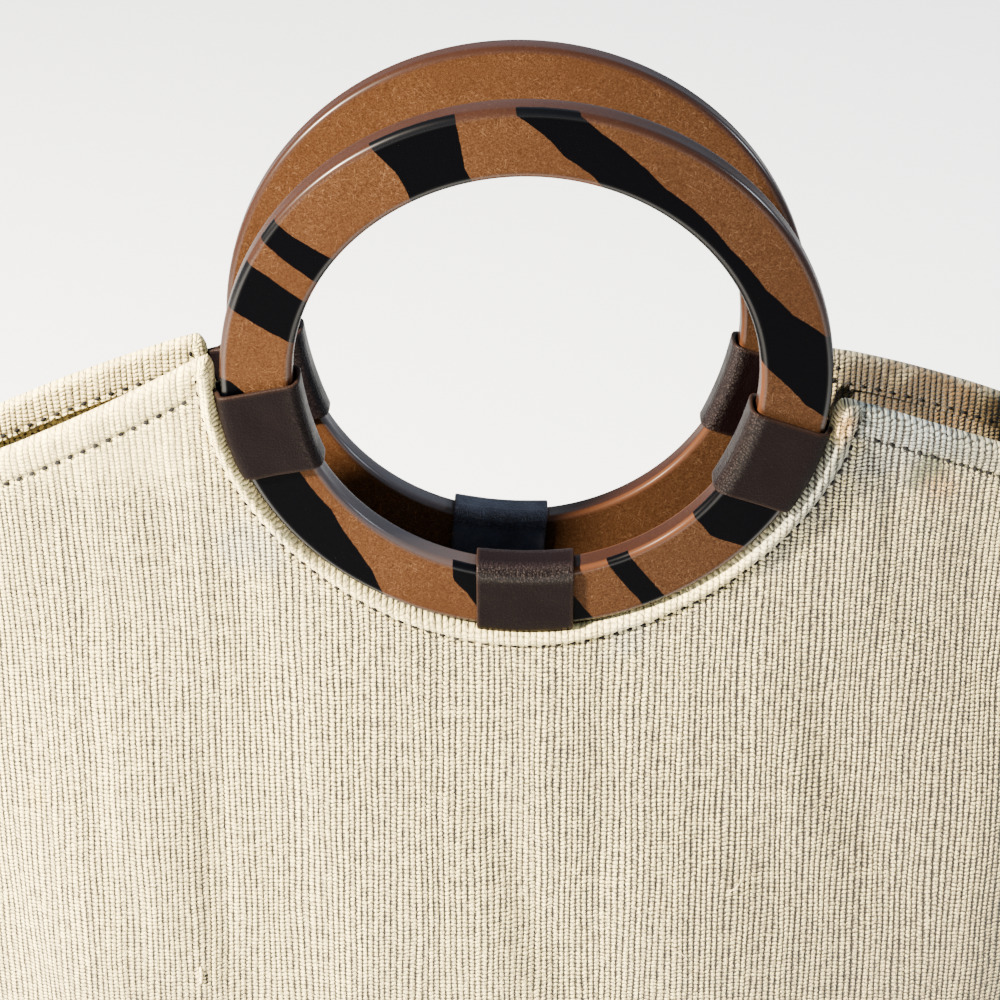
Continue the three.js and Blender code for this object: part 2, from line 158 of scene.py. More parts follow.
heights = np.arange(0, 372, 2.0)[:, None]
low, high = np.zeros_like(heights), np.full_like(heights, CLOTH_WIDTH / 2)
for _ in range(18):
    middle = (low + high) / 2
    short = outline(middle, half_depth(heights), body_value(2, heights))[2][:, -1:] < CLOTH_WIDTH
    low, high = np.where(short, middle, low), np.where(short, high, middle)
HALF_WIDTHS = (heights[:, 0], low[:, 0])


def section(z):
    z = z[:, None]
    width = np.interp(z, *HALF_WIDTHS)
    return outline(width, half_depth(z), body_value(2, z))


def cloth_place(x, z):
    """How far across the cloth the points at x are, from its middle."""
    found = []
    for i in range(0, len(x), 3000):
        xs, _, walked = section(z[i : i + 3000])
        for row in range(len(xs)):
            found.append(np.interp(x[i + row], xs[row], walked[row]) - walked[row, -1] / 2)
    return np.array(found)


def on_panel(side, s, v):
    """Points of a panel's outer face, at places s across the cloth and v up it, below zero on the base."""
    shape = np.broadcast(s, v).shape
    s, v = (np.broadcast_to(a, shape).ravel().astype(float) for a in (s, v))
    z = np.maximum(v, BASE_ROUND)
    x, depth = np.empty_like(z), np.empty_like(z)
    for i in range(0, len(z), 4000):
        part = slice(i, i + 4000)
        xs, ys, walked = section(z[part])
        target = (np.clip(s[part] / CLOTH_WIDTH + 0.5, 0, 1) * walked[:, -1])[:, None]
        at = np.clip((walked < target).sum(axis=1) - 1, 0, len(OUTLINE) - 2)[:, None]
        pick = lambda table, k: np.take_along_axis(table, at + k, axis=1)
        share = (target - pick(walked, 0)) / np.maximum(pick(walked, 1) - pick(walked, 0), 1e-9)
        x[part] = (pick(xs, 0) + share * (pick(xs, 1) - pick(xs, 0)))[:, 0]
        depth[part] = (pick(ys, 0) + share * (pick(ys, 1) - pick(ys, 0)))[:, 0]
    level, across = z / HANDLE_HEIGHT, s / (CLOTH_WIDTH / 2)
    ends = smooth(0, 12, CLOTH_WIDTH / 2 - np.abs(s))
    push = np.zeros_like(z)
    for place, spread, bottom, top, amount, lean in FOLDS[side]:
        along = np.clip((level - bottom) / (top - bottom), 0, 1)
        away = (across - place - lean * (along - 0.5)) / spread
        push += amount * BELLY_HALF_DEPTH * np.exp(-away * away) * np.sin(math.pi * along) ** 2
    for s0, z0, s1, z1, wide, deep in CREASES[side]:
        line = np.array([s1 - s0, z1 - z0])
        reach = np.hypot(*line)
        along = ((s - s0) * line[0] + (z - z0) * line[1]) / reach**2
        bend = 4 * np.sin(3 * along + s0)
        away = ((s - s0) * line[1] - (z - z0) * line[0]) / reach + bend
        fade = smooth(-0.15, 0.3, along) * smooth(1.2, 0.6, along)
        push += deep * np.exp(-((away / wide) ** 2)) * fade
    rumple = np.array([noise.noise(Vector((a / 31, b / 44, 3.7))) for a, b in zip(s, v)])
    rumple += 0.5 * np.array([noise.noise(Vector((a / 13, b / 21, 8.1))) for a, b in zip(s, v)])
    push += 0.8 * rumple * smooth(330, 250, z)
    depth = depth + push * ends
    walk = np.maximum(BASE_ROUND - v, 0)
    turn = np.minimum(walk / BASE_ROUND, math.pi / 2)
    tuck = BASE_ROUND * (1 - np.cos(turn))
    height = z - BASE_ROUND * np.sin(turn)
    flat = np.clip((walk - BASE_ROUND * math.pi / 2) / (BASE_WALK - BASE_ROUND * math.pi / 2), 0, 1)
    x *= 1 - tuck / 190
    depth *= (1 - tuck / 46) * (1 - flat)
    # the seams pull the cloth inwards in short puckers
    away = CLOTH_WIDTH / 2 - np.abs(s)
    pucker = 1 + 0.35 * np.sin(v / 1.9 + 2 * np.sin(v / 23))
    x -= np.sign(x) * 2.6 * np.exp(-((away / 2.6) ** 2)) * pucker
    height += np.where(flat > 0.3, 2.4 * np.exp(-((depth / 3.2) ** 2)), 0)
    depth = np.maximum(depth, 0.15)
    y = -depth if side == "front" else depth
    return np.stack([x, y, height], axis=-1).reshape(*shape, 3)


def cutout_radius(side, degrees):
    flare = np.where(degrees < 0, SHOULDERS[side, -1][1], SHOULDERS[side, 1][1])
    return CUTOUT_RADIUS + flare * RING_RADIUS * smooth(45, 90, np.abs(degrees))


def swell(side, degrees):
    """How much wider and fatter the hem of the cut-out gets towards its right end, where it is rolled."""
    return smooth(30, 78, np.asarray(degrees, float)) * (0.55 if side == "front" else 0.0)


def shoulder(side, hand):
    """The shoulder's edge as places across the cloth and heights, from the corner to the side seam."""
    rise, flare, sag = SHOULDERS[side, hand]
    cx, cz = CENTRES[side]
    share = np.linspace(0, 1, 60)
    start = (cx + hand * (CUTOUT_RADIUS + flare * RING_RADIUS), cz + rise * RING_RADIUS)
    seam = np.interp(SIDE_HEIGHT, *HALF_WIDTHS)
    x = start[0] + share * (hand * seam - start[0])
    z = start[1] + share * (SIDE_HEIGHT - start[1]) - 4 * share * (1 - share) * sag * RING_RADIUS
    return cloth_place(x, z), z


SHOULDER_EDGES = {key: shoulder(*key) for key in SHOULDERS}


def shoulder_height(side, hand, s):
    """The shoulder's height at s, with its line carried on past the corner, and its slope's cosine."""
    places, z = SHOULDER_EDGES[side, hand]
    out, inward = hand * s, hand * places
    slope = (z[3] - z[0]) / (inward[3] - inward[0])
    found = np.where(out < inward[0], z[0] + (out - inward[0]) * slope, np.interp(out, inward, z))
    return found, math.cos(math.atan(slope))


def edge_line(side, inset, arc_steps, shoulder_steps):
    """A line that runs inset below the shoulders and outside the cut-out, as three parts of (s, v)."""
    cx, cz = CENTRES[side]
    arms = {}
    for hand in (-1, 1):
        q = np.concatenate([np.linspace(40, 90, 200), np.linspace(90.2, 118, 140)])
        radius = cutout_radius(side, hand * np.minimum(q, 90)) + inset * (1 + swell(side, hand * q))
        turned = np.radians(np.minimum(q, 90))
        x = cx + hand * radius * np.sin(turned)
        z = cz - radius * np.cos(turned) + np.maximum(q - 90, 0)
        s = cloth_place(x, z)
        level, cosine = shoulder_height(side, hand, s)
        over = z - (level - inset / cosine)
        arms[hand] = (np.interp(0, over, q), np.interp(0, over, s))
    q = np.linspace(-arms[-1][0], arms[1][0], arc_steps + 1)
    radius = cutout_radius(side, np.clip(q, -90, 90)) + inset * (1 + swell(side, q))
    turned = np.radians(np.clip(q, -90, 90))
    x = cx + radius * np.sin(turned)
    z = cz - radius * np.cos(turned) + np.maximum(np.abs(q) - 90, 0)
    arc = np.stack([cloth_place(x, z), z], axis=-1)
    sides = {}
    for hand in (-1, 1):
        s = np.linspace(arms[hand][1], hand * CLOTH_WIDTH / 2, shoulder_steps + 1)
        level, cosine = shoulder_height(side, hand, s)
        sides[hand] = np.stack([s, level - inset / cosine], axis=-1)
    return sides[-1][::-1], arc, sides[1]


def from_edges(side, s, v, points):
    """How far places of the panel are from the cut-out and from the shoulder."""
    cx, cz = CENTRES[side]
    x, z = points[..., 0] - cx, points[..., 2] - cz
    degrees = np.degrees(np.arctan2(x, np.maximum(-z, 1e-6)))
    cut = (np.where(z < 0, np.hypot(x, z), np.abs(x)) - cutout_radius(side, degrees)) / (1 + swell(side, degrees))
    sides = [shoulder_height(side, hand, s) for hand in (-1, 1)]
    level = np.where(s < 0, sides[0][0], sides[1][0])
    cosine = np.where(s < 0, sides[0][1], sides[1][1])
    return cut, (level - v) * cosine, degrees


def relief(side, cut, top, degrees, walked):
    """How far the outer and inner faces stand from the cloth's nominal face, with the hems on it."""
    hem, stitched = 0, 0
    for far, width, stitch in ((cut, CUTOUT_HEM, CUTOUT_STITCH), (top, SHOULDER_HEM, SHOULDER_STITCH)):
        hem = np.maximum(hem, smooth(width + 0.7, width - 0.7, far))
        stitched = np.maximum(stitched, np.exp(-(((far - stitch) / GROOVE) ** 2)))
    pulled = 0.5 + 0.5 * np.cos(2 * math.pi * walked / STITCH_PITCH)
    middle = HEM_PUFF - HEM_THICKNESS / 2
    near = np.clip(np.minimum(cut, top) / 2.3, 0, 1)
    bulge = np.sqrt(1 - (1 - near) ** 2)
    fat = 1.4 + 4.2 * swell(side, degrees) + 0.9 * smooth(35, 60, -degrees) * (side == "front")
    pinched = 1 + 0.2 * np.sin(2 * math.pi * (walked / STITCH_PITCH + cut / 7))
    roll = fat * np.exp(-(((cut - 2.3) / 1.9) ** 2)) * pinched
    fold = 0.55 * np.exp(-(((top - 3.2) / 3.0) ** 2)) + 0.2 * np.exp(-(((top - 6.5) / 2.0) ** 2)) * pulled
    outer = hem * (HEM_PUFF + np.maximum(roll, fold)) - stitched * (0.6 + 0.5 * pulled)
    if side == "front":
        # the roll is open at its right end
        outer -= 3.2 * np.exp(-(((cut - 2.5) / 0.95) ** 2) - ((top - 6.5) / 4.2) ** 2) * (degrees > 60)
        outer -= 0.9 * smooth(40, 75, degrees) * np.exp(-(((cut - CUTOUT_STITCH) / 0.8) ** 2))
    inner = -CLOTH_THICKNESS - hem * (HEM_THICKNESS - HEM_PUFF - CLOTH_THICKNESS) + 0.5 * stitched
    for place in STRAP_PLACES[side]:
        away = (degrees - (place - 270) + 180) % 360 - 180
        outer += 0.7 * np.exp(-((away / 10.5) ** 4)) * smooth(7, 2, cut) * (cut < 12)
    return middle + (outer - middle) * bulge, middle + (inner - middle) * bulge


def faces_outward(points, faces):
    """The faces of a closed mesh, all turned over where they enclose a volume below zero."""
    corners = np.array([(f[0], f[k], f[k + 1]) for f in faces for k in range(1, len(f) - 1)])
    a, b, c = np.moveaxis(np.asarray(points, float)[corners], 1, 0)
    volume = (a * np.cross(b, c)).sum()
    return [f[::-1] for f in faces] if volume < 0 else faces


def mesh_object(name, points, faces, uv=None, values=None, closed=True):
    """A smooth mesh in metres from points in metres. uv has a pair for each point, and values are floats."""
    mesh = bpy.data.meshes.new(name)
    if closed:
        faces = faces_outward(points, faces)
    mesh.from_pydata(np.asarray(points).tolist(), [], [list(f) for f in faces])
    mesh.polygons.foreach_set("use_smooth", [True] * len(mesh.polygons))
    if uv is not None:
        corners = np.empty(len(mesh.loops), dtype=np.int32)
        mesh.loops.foreach_get("vertex_index", corners)
        layer = mesh.uv_layers.new(name="UVMap")
        layer.data.foreach_set("uv", np.asarray(uv, dtype=np.float32)[corners].ravel())
    for key, numbers in (values or {}).items():
        attribute = mesh.attributes.new(key, "FLOAT", "POINT")
        attribute.data.foreach_set("value", np.asarray(numbers, dtype=np.float32).ravel())
    mesh.validate()
    piece = bpy.data.objects.new(name, mesh)
    bpy.context.scene.collection.objects.link(piece)
    return piece


def grid_faces(rows, columns, closed_rows=False, closed_columns=False, flip=False):
    faces = []
    for j in range(rows if closed_rows else rows - 1):
        for i in range(columns if closed_columns else columns - 1):
            a, b = j * columns + i, j * columns + (i + 1) % columns
            c, d = ((j + 1) % rows) * columns + (i + 1) % columns, ((j + 1) % rows) * columns + i
            faces.append((a, d, c, b) if flip else (a, b, c, d))
    return faces


def fill(tree, node, links):
    """Fills a node's sockets, by name or number, with values or with other nodes' outputs."""
    for key, value in links.items():
        if isinstance(value, bpy.types.NodeSocket):
            tree.links.new(value, node.inputs[key])
        else:
            node.inputs[key].default_value = value
    return node


def add(tree, kind, links=None, **settings):
    node = tree.nodes.new(kind)
    for key, value in settings.items():
        setattr(node, key, value)
    return fill(tree, node, links or {})


def sums(tree, operation, *values):
    return add(tree, "ShaderNodeMath", dict(enumerate(values)), operation=operation).outputs[0]


def times(tree, a, b):
    return sums(tree, "MULTIPLY", a, b)


def plus(tree, a, b):
    return sums(tree, "ADD", a, b)


def ramp(tree, value, low, high, to_low=0.0, to_high=1.0):
    links = {"Value": value, "From Min": low, "From Max": high, "To Min": to_low, "To Max": to_high}
    return add(tree, "ShaderNodeMapRange", links, interpolation_type="SMOOTHSTEP").outputs[0]


def blend(tree, share, a, b, kind="MIX"):
    return add(tree, "ShaderNodeMix", {0: share, 6: a, 7: b}, data_type="RGBA", blend_type=kind).outputs[2]


def patches(tree, place, scale, detail=3.0, rough=0.55):
    links = {"Vector": place, "Scale": scale, "Detail": detail, "Roughness": rough}
    return add(tree, "ShaderNodeTexNoise", links).outputs["Fac"]


def stretched(tree, place, scale):
    return add(tree, "ShaderNodeMapping", {"Vector": place, "Scale": scale}, vector_type="POINT").outputs[0]


def mark(tree, name):
    """A number that the mesh carries at its points."""
    return add(tree, "ShaderNodeAttribute", attribute_name=name).outputs["Fac"]


def bumps(tree, height, strength, distance):
    return add(tree, "ShaderNodeBump", {"Height": height, "Strength": strength, "Distance": distance}).outputs[0]


def material(name):
    made = bpy.data.materials.new(name)
    made.use_nodes = True
    return made, made.node_tree, made.node_tree.nodes["Principled BSDF"]


canvas, tree, skin = material("ribbed_canvas")
RIB_PITCH, WEFT_PITCH = 0.00178, 0.00132
YARN_DULL, YARN_LIGHT, YARN_FUZZ = (0.47, 0.37, 0.16, 1), (0.97, 0.785, 0.32, 1), (0.97, 0.84, 0.43, 1)
YARN_SOILED, YARN_SHADE_RIGHT, YARN_SHADE_LOW = (0.36, 0.28, 0.15, 1), (0.34, 0.265, 0.155, 1), (0.30, 0.235, 0.14, 1)
YARN_SKY_SHADE, YARN_WARM, YARN_GAP = (0.15, 0.21, 0.22, 1), (0.86, 0.45, 0.10, 1), (0.014, 0.0115, 0.0085, 1)
uv = add(tree, "ShaderNodeUVMap", uv_map="UVMap").outputs[0]
place = add(tree, "ShaderNodeTexCoord").outputs["Object"]
split = add(tree, "ShaderNodeSeparateXYZ", {0: uv}).outputs


def cloth_noise(across, up, detail=2.0, rough=0.55):
    return patches(tree, stretched(tree, uv, (across, up, 1)), 1.0, detail, rough)


def rib_noise(shift):
    """One random number for each rib."""
    links = {"W": plus(tree, number, shift) if shift else number}
    return add(tree, "ShaderNodeTexWhiteNoise", links, noise_dimensions="1D").outputs["Value"]


wander = times(tree, sums(tree, "SUBTRACT", cloth_noise(60, 14), 0.5), 2.2)
ribs = plus(tree, sums(tree, "DIVIDE", split[0], RIB_PITCH), wander)
number = sums(tree, "FLOOR", ribs)
inside = sums(tree, "SUBTRACT", sums(tree, "FRACT", ribs), 0.5)
away = times(tree, sums(tree, "ABSOLUTE", inside), 2.0)
own, other = rib_noise(0), rib_noise(0.37)
lag = plus(tree, times(tree, own, 0.35), times(tree, cloth_noise(380, 90), 1.5))
wefts = plus(tree, sums(tree, "DIVIDE", split[1], WEFT_PITCH), lag)
bead = sums(tree, "ABSOLUTE", sums(tree, "SINE", times(tree, wefts, math.pi)))
bead = sums(tree, "POWER", bead, 0.6)
slubs = cloth_noise(560, 260, 2.0, 0.6)
fuzz = cloth_noise(1800, 1500, 3.0, 0.7)
spots = cloth_noise(760, 700, 2.0, 0.6)
grip = cloth_noise(24, 16, 3.0)
# each rib is as wide as its beads, and narrows between them
wide = plus(tree, plus(tree, 0.30, times(tree, bead, 0.36)), times(tree, other, 0.16))
wide = plus(tree, wide, ramp(tree, slubs, 0.3, 0.7, -0.14, 0.2))
across = sums(tree, "MINIMUM", sums(tree, "DIVIDE", away, plus(tree, wide, 0.36)), 1.0)
rib = sums(tree, "SQRT", sums(tree, "SUBTRACT", 1.0, times(tree, across, across)))
# painted shade in the hollows between the ribs and, with the notches, between the beads
gap = ramp(tree, sums(tree, "SUBTRACT", away, wide), -0.18, 0.13)
gap = times(tree, gap, ramp(tree, grip, 0.3, 0.7, 0.8, 1.0))
gap = times(tree, gap, ramp(tree, bead, 1.0, 0.55, 0.66, 1.0))
notch = times(tree, ramp(tree, away, 0.0, 0.8, 0.5, 1.0), ramp(tree, bead, 0.82, 0.3))
dark = plus(tree, times(tree, gap, 0.93), times(tree, notch, ramp(tree, spots, 0.38, 0.6, 0.1, 0.95)))
# painted shade on the flank of each rib away from the lamp, the loose fibres, and painted shade that deepens the gaps
# towards the right
dark = plus(tree, dark, ramp(tree, inside, 0.05, 0.45, 0.0, 0.4))
dark = plus(tree, dark, ramp(tree, fuzz, 0.57, 0.36, 0.0, 0.6))
dark = times(tree, dark, ramp(tree, split[0], -0.15, 0.14, 0.88, 1.38))
dark = times(tree, dark, sums(tree, "SUBTRACT", 1.0, times(tree, mark(tree, "worn"), 0.75)))
# painted light: the gaps paler at the top left, towards the lamp
lit_top_left = times(tree, ramp(tree, split[1], 0.28, 0.305), ramp(tree, split[0], -0.075, -0.105))
dark = times(tree, dark, ramp(tree, lit_top_left, 0.0, 1.0, 1.0, 0.35))
dark = sums(tree, "MINIMUM", dark, 1.0)
tone = plus(tree, times(tree, own, 0.3), times(tree, slubs, 0.7))
soiled = cloth_noise(9, 7, 4.0, 0.6)
# painted shade, darker still low down on the right
shade_low_right = times(tree, ramp(tree, split[0], 0.02, 0.14), ramp(tree, split[1], 0.23, 0.13))
yarn = blend(tree, ramp(tree, tone, 0.25, 0.75), YARN_DULL, YARN_LIGHT)
yarn = blend(tree, ramp(tree, fuzz, 0.4, 0.65, 0.0, 0.6), yarn, YARN_FUZZ)
yarn = blend(tree, ramp(tree, soiled, 0.48, 0.76, 0.0, 0.55), yarn, YARN_SOILED)
# painted shade: the cloth darker towards the right, away from the lamp
yarn = blend(tree, ramp(tree, split[0], 0.0, 0.17, 0.0, 0.45), yarn, YARN_SHADE_RIGHT)
yarn = blend(tree, times(tree, shade_low_right, 0.3), yarn, YARN_SHADE_LOW)
# painted bluish sky shade along the hems
yarn = blend(tree, times(tree, mark(tree, "cool"), 0.85), yarn, YARN_SKY_SHADE)
yarn = blend(tree, times(tree, mark(tree, "warm"), 0.9), yarn, YARN_WARM)
# Stains and painted shade as (centre, reach, colour, strength): a brownish patch at the right inside the back panel,
# a small yellow spot on the front's left, a greenish and an orange spot on the front's right shoulder, and painted
# bluish grey shade beside the hems and under the ring
STAINS_AND_SHADE = [
    ((0.099, 0.0139, 0.303), 0.033, (0.050, 0.031, 0.014, 1), 0.95),
    ((0.114, 0.0136, 0.303), 0.026, (0.060, 0.034, 0.012, 1), 0.93),
    ((0.130, 0.0145, 0.298), 0.018, (0.15, 0.080, 0.024, 1), 0.88),
    ((-0.1456, -0.0258, 0.1886), 0.006, (0.85, 0.64, 0.18, 1), 0.55),
    # painted shade from here to the spot under the ring
    ((0.1010, -0.0186, 0.3060), 0.019, (0.34, 0.37, 0.35, 1), 0.7),
    ((0.0780, -0.0200, 0.2900), 0.014, (0.30, 0.30, 0.25, 1), 0.6),
    ((0.0680, -0.0200, 0.2760), 0.012, (0.34, 0.34, 0.28, 1), 0.5),
    ((-0.0770, -0.0180, 0.2740), 0.013, (0.46, 0.48, 0.44, 1), 0.5),
    ((0.0300, -0.0240, 0.2440), 0.010, (0.50, 0.52, 0.44, 1), 0.5),
    ((0.1119, -0.0171, 0.2985), 0.010, (0.10, 0.12, 0.045, 1), 0.85),
    ((0.1166, -0.0166, 0.2933), 0.009, (0.46, 0.25, 0.085, 1), 0.75),
]
ragged = sums(tree, "SUBTRACT", patches(tree, place, 95.0, 3.0), 0.5)
for centre, reach, colour, strength in STAINS_AND_SHADE:
    far = add(tree, "ShaderNodeVectorMath", {0: place, 1: centre}, operation="DISTANCE").outputs["Value"]
    far = plus(tree, far, times(tree, ragged, reach * 1.6))
    yarn = blend(tree, ramp(tree, far, reach, reach * 0.25, 0.0, strength), yarn, colour)
lift = times(tree, rib, plus(tree, 0.45, times(tree, bead, 0.55)))
lift = plus(tree, lift, times(tree, fuzz, 0.35))
fill(tree, skin, {
    "Base Color": blend(tree, dark, yarn, YARN_GAP), "Normal": bumps(tree, lift, 1.0, 0.0009),
    "Roughness": 0.93, "Specular IOR Level": 0.18,
    "Sheen Weight": 0.12, "Sheen Roughness": 0.5, "Sheen Tint": (1.0, 0.95, 0.85, 1),
})

ARC_STEPS, SHOULDER_STEPS = 128, 52
# how far in from the edges the rows of points over the hems lie
INSETS = [
    0, 0.1, 0.35, 0.75, 1.3, 1.95, 2.7, 3.4, 4.0, 4.5, 5.0, 5.5,
    6.2, 6.9, 7.4, 7.9, 8.4, 9.0, 9.6, 10.4, 11.1, 11.8, 13, 15,
]
WALL_ROWS, BASE_ROWS = 66, 20
CORNER_ROUND = 5.0


def panel_grid(side):
    """Places (s, v) on the cloth, in rows from the edge down to the seam under the base."""
    lines = (edge_line(side, inset, ARC_STEPS, SHOULDER_STEPS) for inset in INSETS)
    rows = [np.concatenate([left[:-1], arc, right[1:]]) for left, arc, right in lines]
    last = rows[-1]
    even = np.linspace(-CLOTH_WIDTH / 2, CLOTH_WIDTH / 2, len(last))
    for k in range(1, WALL_ROWS + 1):
        share = k / WALL_ROWS
        s = last[:, 0] + (even - last[:, 0]) * smooth(0, 1, np.array(share))
        rows.append(np.stack([s, last[:, 1] + (BASE_ROUND - last[:, 1]) * share], axis=-1))
    for k in range(1, BASE_ROWS + 1):
        share = k / BASE_ROWS
        rows.append(np.stack([even, np.full_like(even, BASE_ROUND - BASE_WALK * share ** 1.25)], axis=-1))
    return np.array(rows)


def faces_out(points, side):
    """The outward direction at each point of a grid of the panel's face."""
    out = np.cross(np.gradient(points, axis=1), np.gradient(points, axis=0))
    out /= np.maximum(np.linalg.norm(out, axis=-1, keepdims=True), 1e-9)
    return out if side == "front" else -out


def canvas_panel(side):
    places = panel_grid(side)
    s, v = places[..., 0], places[..., 1]
    points = on_panel(side, s, v)
    out = faces_out(points, side)
    if out[60, len(s[0]) // 2, 1] * (-1 if side == "front" else 1) < 0:
        out = -out
    cut, top, degrees = from_edges(side, s, v, points)
    # the folded corners are round
    cut_left, top_left = (CORNER_ROUND - cut * (1 + swell(side, degrees))), CORNER_ROUND - top
    at_corner = (cut_left > 0) & (top_left > 0)
    spare = 1 - np.maximum(cut_left, top_left) / np.maximum(np.hypot(cut_left, top_left), 1e-9)
    points[..., 0] += np.where(at_corner, np.sign(s) * cut_left * spare, 0)
    points[..., 2] -= np.where(at_corner, top_left * spare, 0)
    steps = np.linalg.norm(np.diff(points[9], axis=0), axis=-1)
    walked = np.broadcast_to(np.concatenate([[0], np.cumsum(steps)]), s.shape)
    outer, inner = relief(side, cut, top, degrees, walked)
    face = points + out * outer[..., None]
    lining = points + out * inner[..., None]
    middle = 0.2 if side == "back" else -0.2
    clamp = np.maximum if side == "back" else np.minimum
    face[..., 1] = clamp(face[..., 1], middle)
    from_seam = np.minimum(np.arange(len(lining))[::-1], 20)[:, None]
    lining[..., 1] = clamp(lining[..., 1], middle * (1 + 0.05 * from_seam))
    lining[..., 2] = np.maximum(lining[..., 2], np.minimum(1.6, face[..., 2] + 1.6))
    face[..., 2] = np.maximum(face[..., 2], 0)
    rows, columns = s.shape
    ring_of_rows = np.concatenate([face, lining[:0:-1]])
    pairs = np.concatenate([places, places[:0:-1]])
    count = len(ring_of_rows)
    faces = grid_faces(count, columns, closed_rows=True, flip=side == "back")
    for i, column in ((0, 0), (1, columns - 1)):
        for j in range(rows - 1):
            a, b = j * columns + column, (j + 1) * columns + column
            c, d = ((count - j - 1) % count) * columns + column, ((count - j) % count) * columns + column
            quad = (a, b, c, d) if j else (a, b, c)
            faces.append(quad if (i == 0) != (side == "back") else quad[::-1])
    uv = pairs.reshape(-1, 2) * MM
    marks = {"worn": np.maximum(smooth(6, 0.5, top), smooth(7, 2, cut))}
    if side == "front":
        # painted bluish shade along the right shoulder hem and down the rolled hem
        shoulder_hem = smooth(13, 5, top) * smooth(80, 92, s) * (1 - 0.8 * smooth(105, 150, s))
        roll = 0.8 * smooth(45, 70, degrees) * smooth(6.5, 4, cut) * (points[..., 2] < 312)
        marks["cool"] = np.maximum(shoulder_hem, roll)
        marks["warm"] = np.exp(-(((cut - 2.5) / 1.7) ** 2) - ((top - 6.5) / 4.5) ** 2) * (degrees > 60)
    else:
        # painted bluish shade along the back's right shoulder
        marks["cool"] = 0.6 * smooth(5, 2, top) * (s > 60)
    marks["worn"] = marks["worn"] * (1 - 0.7 * marks["cool"])
    marks = {key: np.concatenate([values, values[:0:-1]]) for key, values in marks.items()}
    return mesh_object(f"canvas_panel_{side}", ring_of_rows.reshape(-1, 3) * MM, faces, uv, marks)


for side in ("front", "back"):
    panel = canvas_panel(side)
    panel.data.materials.append(canvas)
    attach(panel, "bag")
    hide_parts(f"canvas_{side}")

# The hems' stitching: one line of dark grey cotton thread round each cut-out and along each shoulder,
# through both faces of the turned-in cloth, every 4.2 mm, each stitch sunk a little in its needle holes.
STITCH_LENGTH, THREAD = 1.9, 1.05


def stitch_tree(finish):
    tree = bpy.data.node_groups.new("hem_stitches", "GeometryNodeTree")
    face = tree.interface
    face.new_socket("Line", in_out="INPUT", socket_type="NodeSocketGeometry")
    for label, size in (("Pitch", STITCH_PITCH), ("Length", STITCH_LENGTH), ("Thread", THREAD)):
        socket = face.new_socket(label, in_out="INPUT", socket_type="NodeSocketFloat")
        socket.default_value = size * MM
    face.new_socket("Stitches", in_out="OUTPUT", socket_type="NodeSocketGeometry")
    given = add(tree, "NodeGroupInput").outputs

    def step(kind, links, **settings):
        return add(tree, kind, links, **settings).outputs[0]

    curve = step("GeometryNodeMeshToCurve", {0: given["Line"]})
    spaced = step("GeometryNodeResampleCurve", {"Curve": curve, "Length": given["Pitch"]}, mode="LENGTH")
    ball = step("GeometryNodeMeshUVSphere", {"Segments": 8, "Rings": 6, "Radius": 0.5})
    size = step("ShaderNodeCombineXYZ", {0: given["Length"], 1: given["Thread"], 2: given["Thread"]})
    stitch = step("GeometryNodeTransform", {"Geometry": ball, "Scale": size})
    along = step("GeometryNodeInputTangent", {})
    out = step("GeometryNodeInputNamedAttribute", {"Name": "outward"}, data_type="FLOAT_VECTOR")
    turn = step("FunctionNodeAlignEulerToVector", {"Vector": along}, axis="X")
    links = {"Rotation": turn, "Vector": out}
    turn = step("FunctionNodeAlignEulerToVector", links, axis="Z", pivot_axis="X")
    links = {"Points": spaced, "Instance": stitch, "Rotation": turn}
    copies = step("GeometryNodeInstanceOnPoints", links)
    links = {0: (-0.09, -0.12, -0.1), 1: (0.09, 0.12, 0.0), "Seed": 5}
    shift = step("FunctionNodeRandomValue", links, data_type="FLOAT_VECTOR")
    copies = step("GeometryNodeRotateInstances", {"Instances": copies, "Rotation": shift})
    real = step("GeometryNodeRealizeInstances", {0: copies})
    rounded = step("GeometryNodeSetShadeSmooth", {"Geometry": real})
    add(tree, "NodeGroupOutput", {0: step("GeometryNodeSetMaterial", {"Geometry": rounded, "Material": finish})})
    return tree


def grown(name, base, group, **sizes):
    """Runs a tree of geometry nodes on a base object once and keeps its result as a plain mesh."""
    modifier = base.modifiers.new("made", "NODES")
    modifier.node_group = group
    for socket in group.interface.items_tree:
        if socket.in_out == "INPUT" and socket.name in sizes:
            modifier[socket.identifier] = sizes[socket.name]
    depsgraph = bpy.context.evaluated_depsgraph_get()
    mesh = bpy.data.meshes.new_from_object(base.evaluated_get(depsgraph), depsgraph=depsgraph)
    mesh.name = name
    piece = bpy.data.objects.new(name, mesh)
    bpy.context.scene.collection.objects.link(piece)
    old = base.data
    bpy.data.objects.remove(base)
    bpy.data.meshes.remove(old)
    return piece


thread, tree, skin = material("grey_thread")
place = add(tree, "ShaderNodeTexCoord").outputs["Object"]
THREAD_DARK, THREAD_LIGHT = (0.003, 0.003, 0.0035, 1), (0.014, 0.0135, 0.0135, 1)
links = {"Vector": place, "Scale": 900.0, "Distortion": 1.5}
twist = add(tree, "ShaderNodeTexWave", links, bands_direction="DIAGONAL").outputs["Fac"]
fill(tree, skin, {
    "Base Color": blend(tree, ramp(tree, patches(tree, place, 220.0), 0.35, 0.7), THREAD_DARK, THREAD_LIGHT),
    "Normal": bumps(tree, twist, 0.4, 0.0001), "Roughness": 0.85, "Specular IOR Level": 0.1,
})

stitches = stitch_tree(thread)


def along_panel(side, places):
    """Points and outward directions of the panel's face at places (s, v)."""
    s, v = places[:, 0], places[:, 1]
    points = on_panel(side, s, v)
    across = on_panel(side, s + 0.5, v) - on_panel(side, s - 0.5, v)
    up = on_panel(side, s, v + 0.5) - on_panel(side, s, v - 0.5)
    out = np.cross(across, up)
    out /= np.linalg.norm(out, axis=-1, keepdims=True)
    return points, out if side == "front" else -out


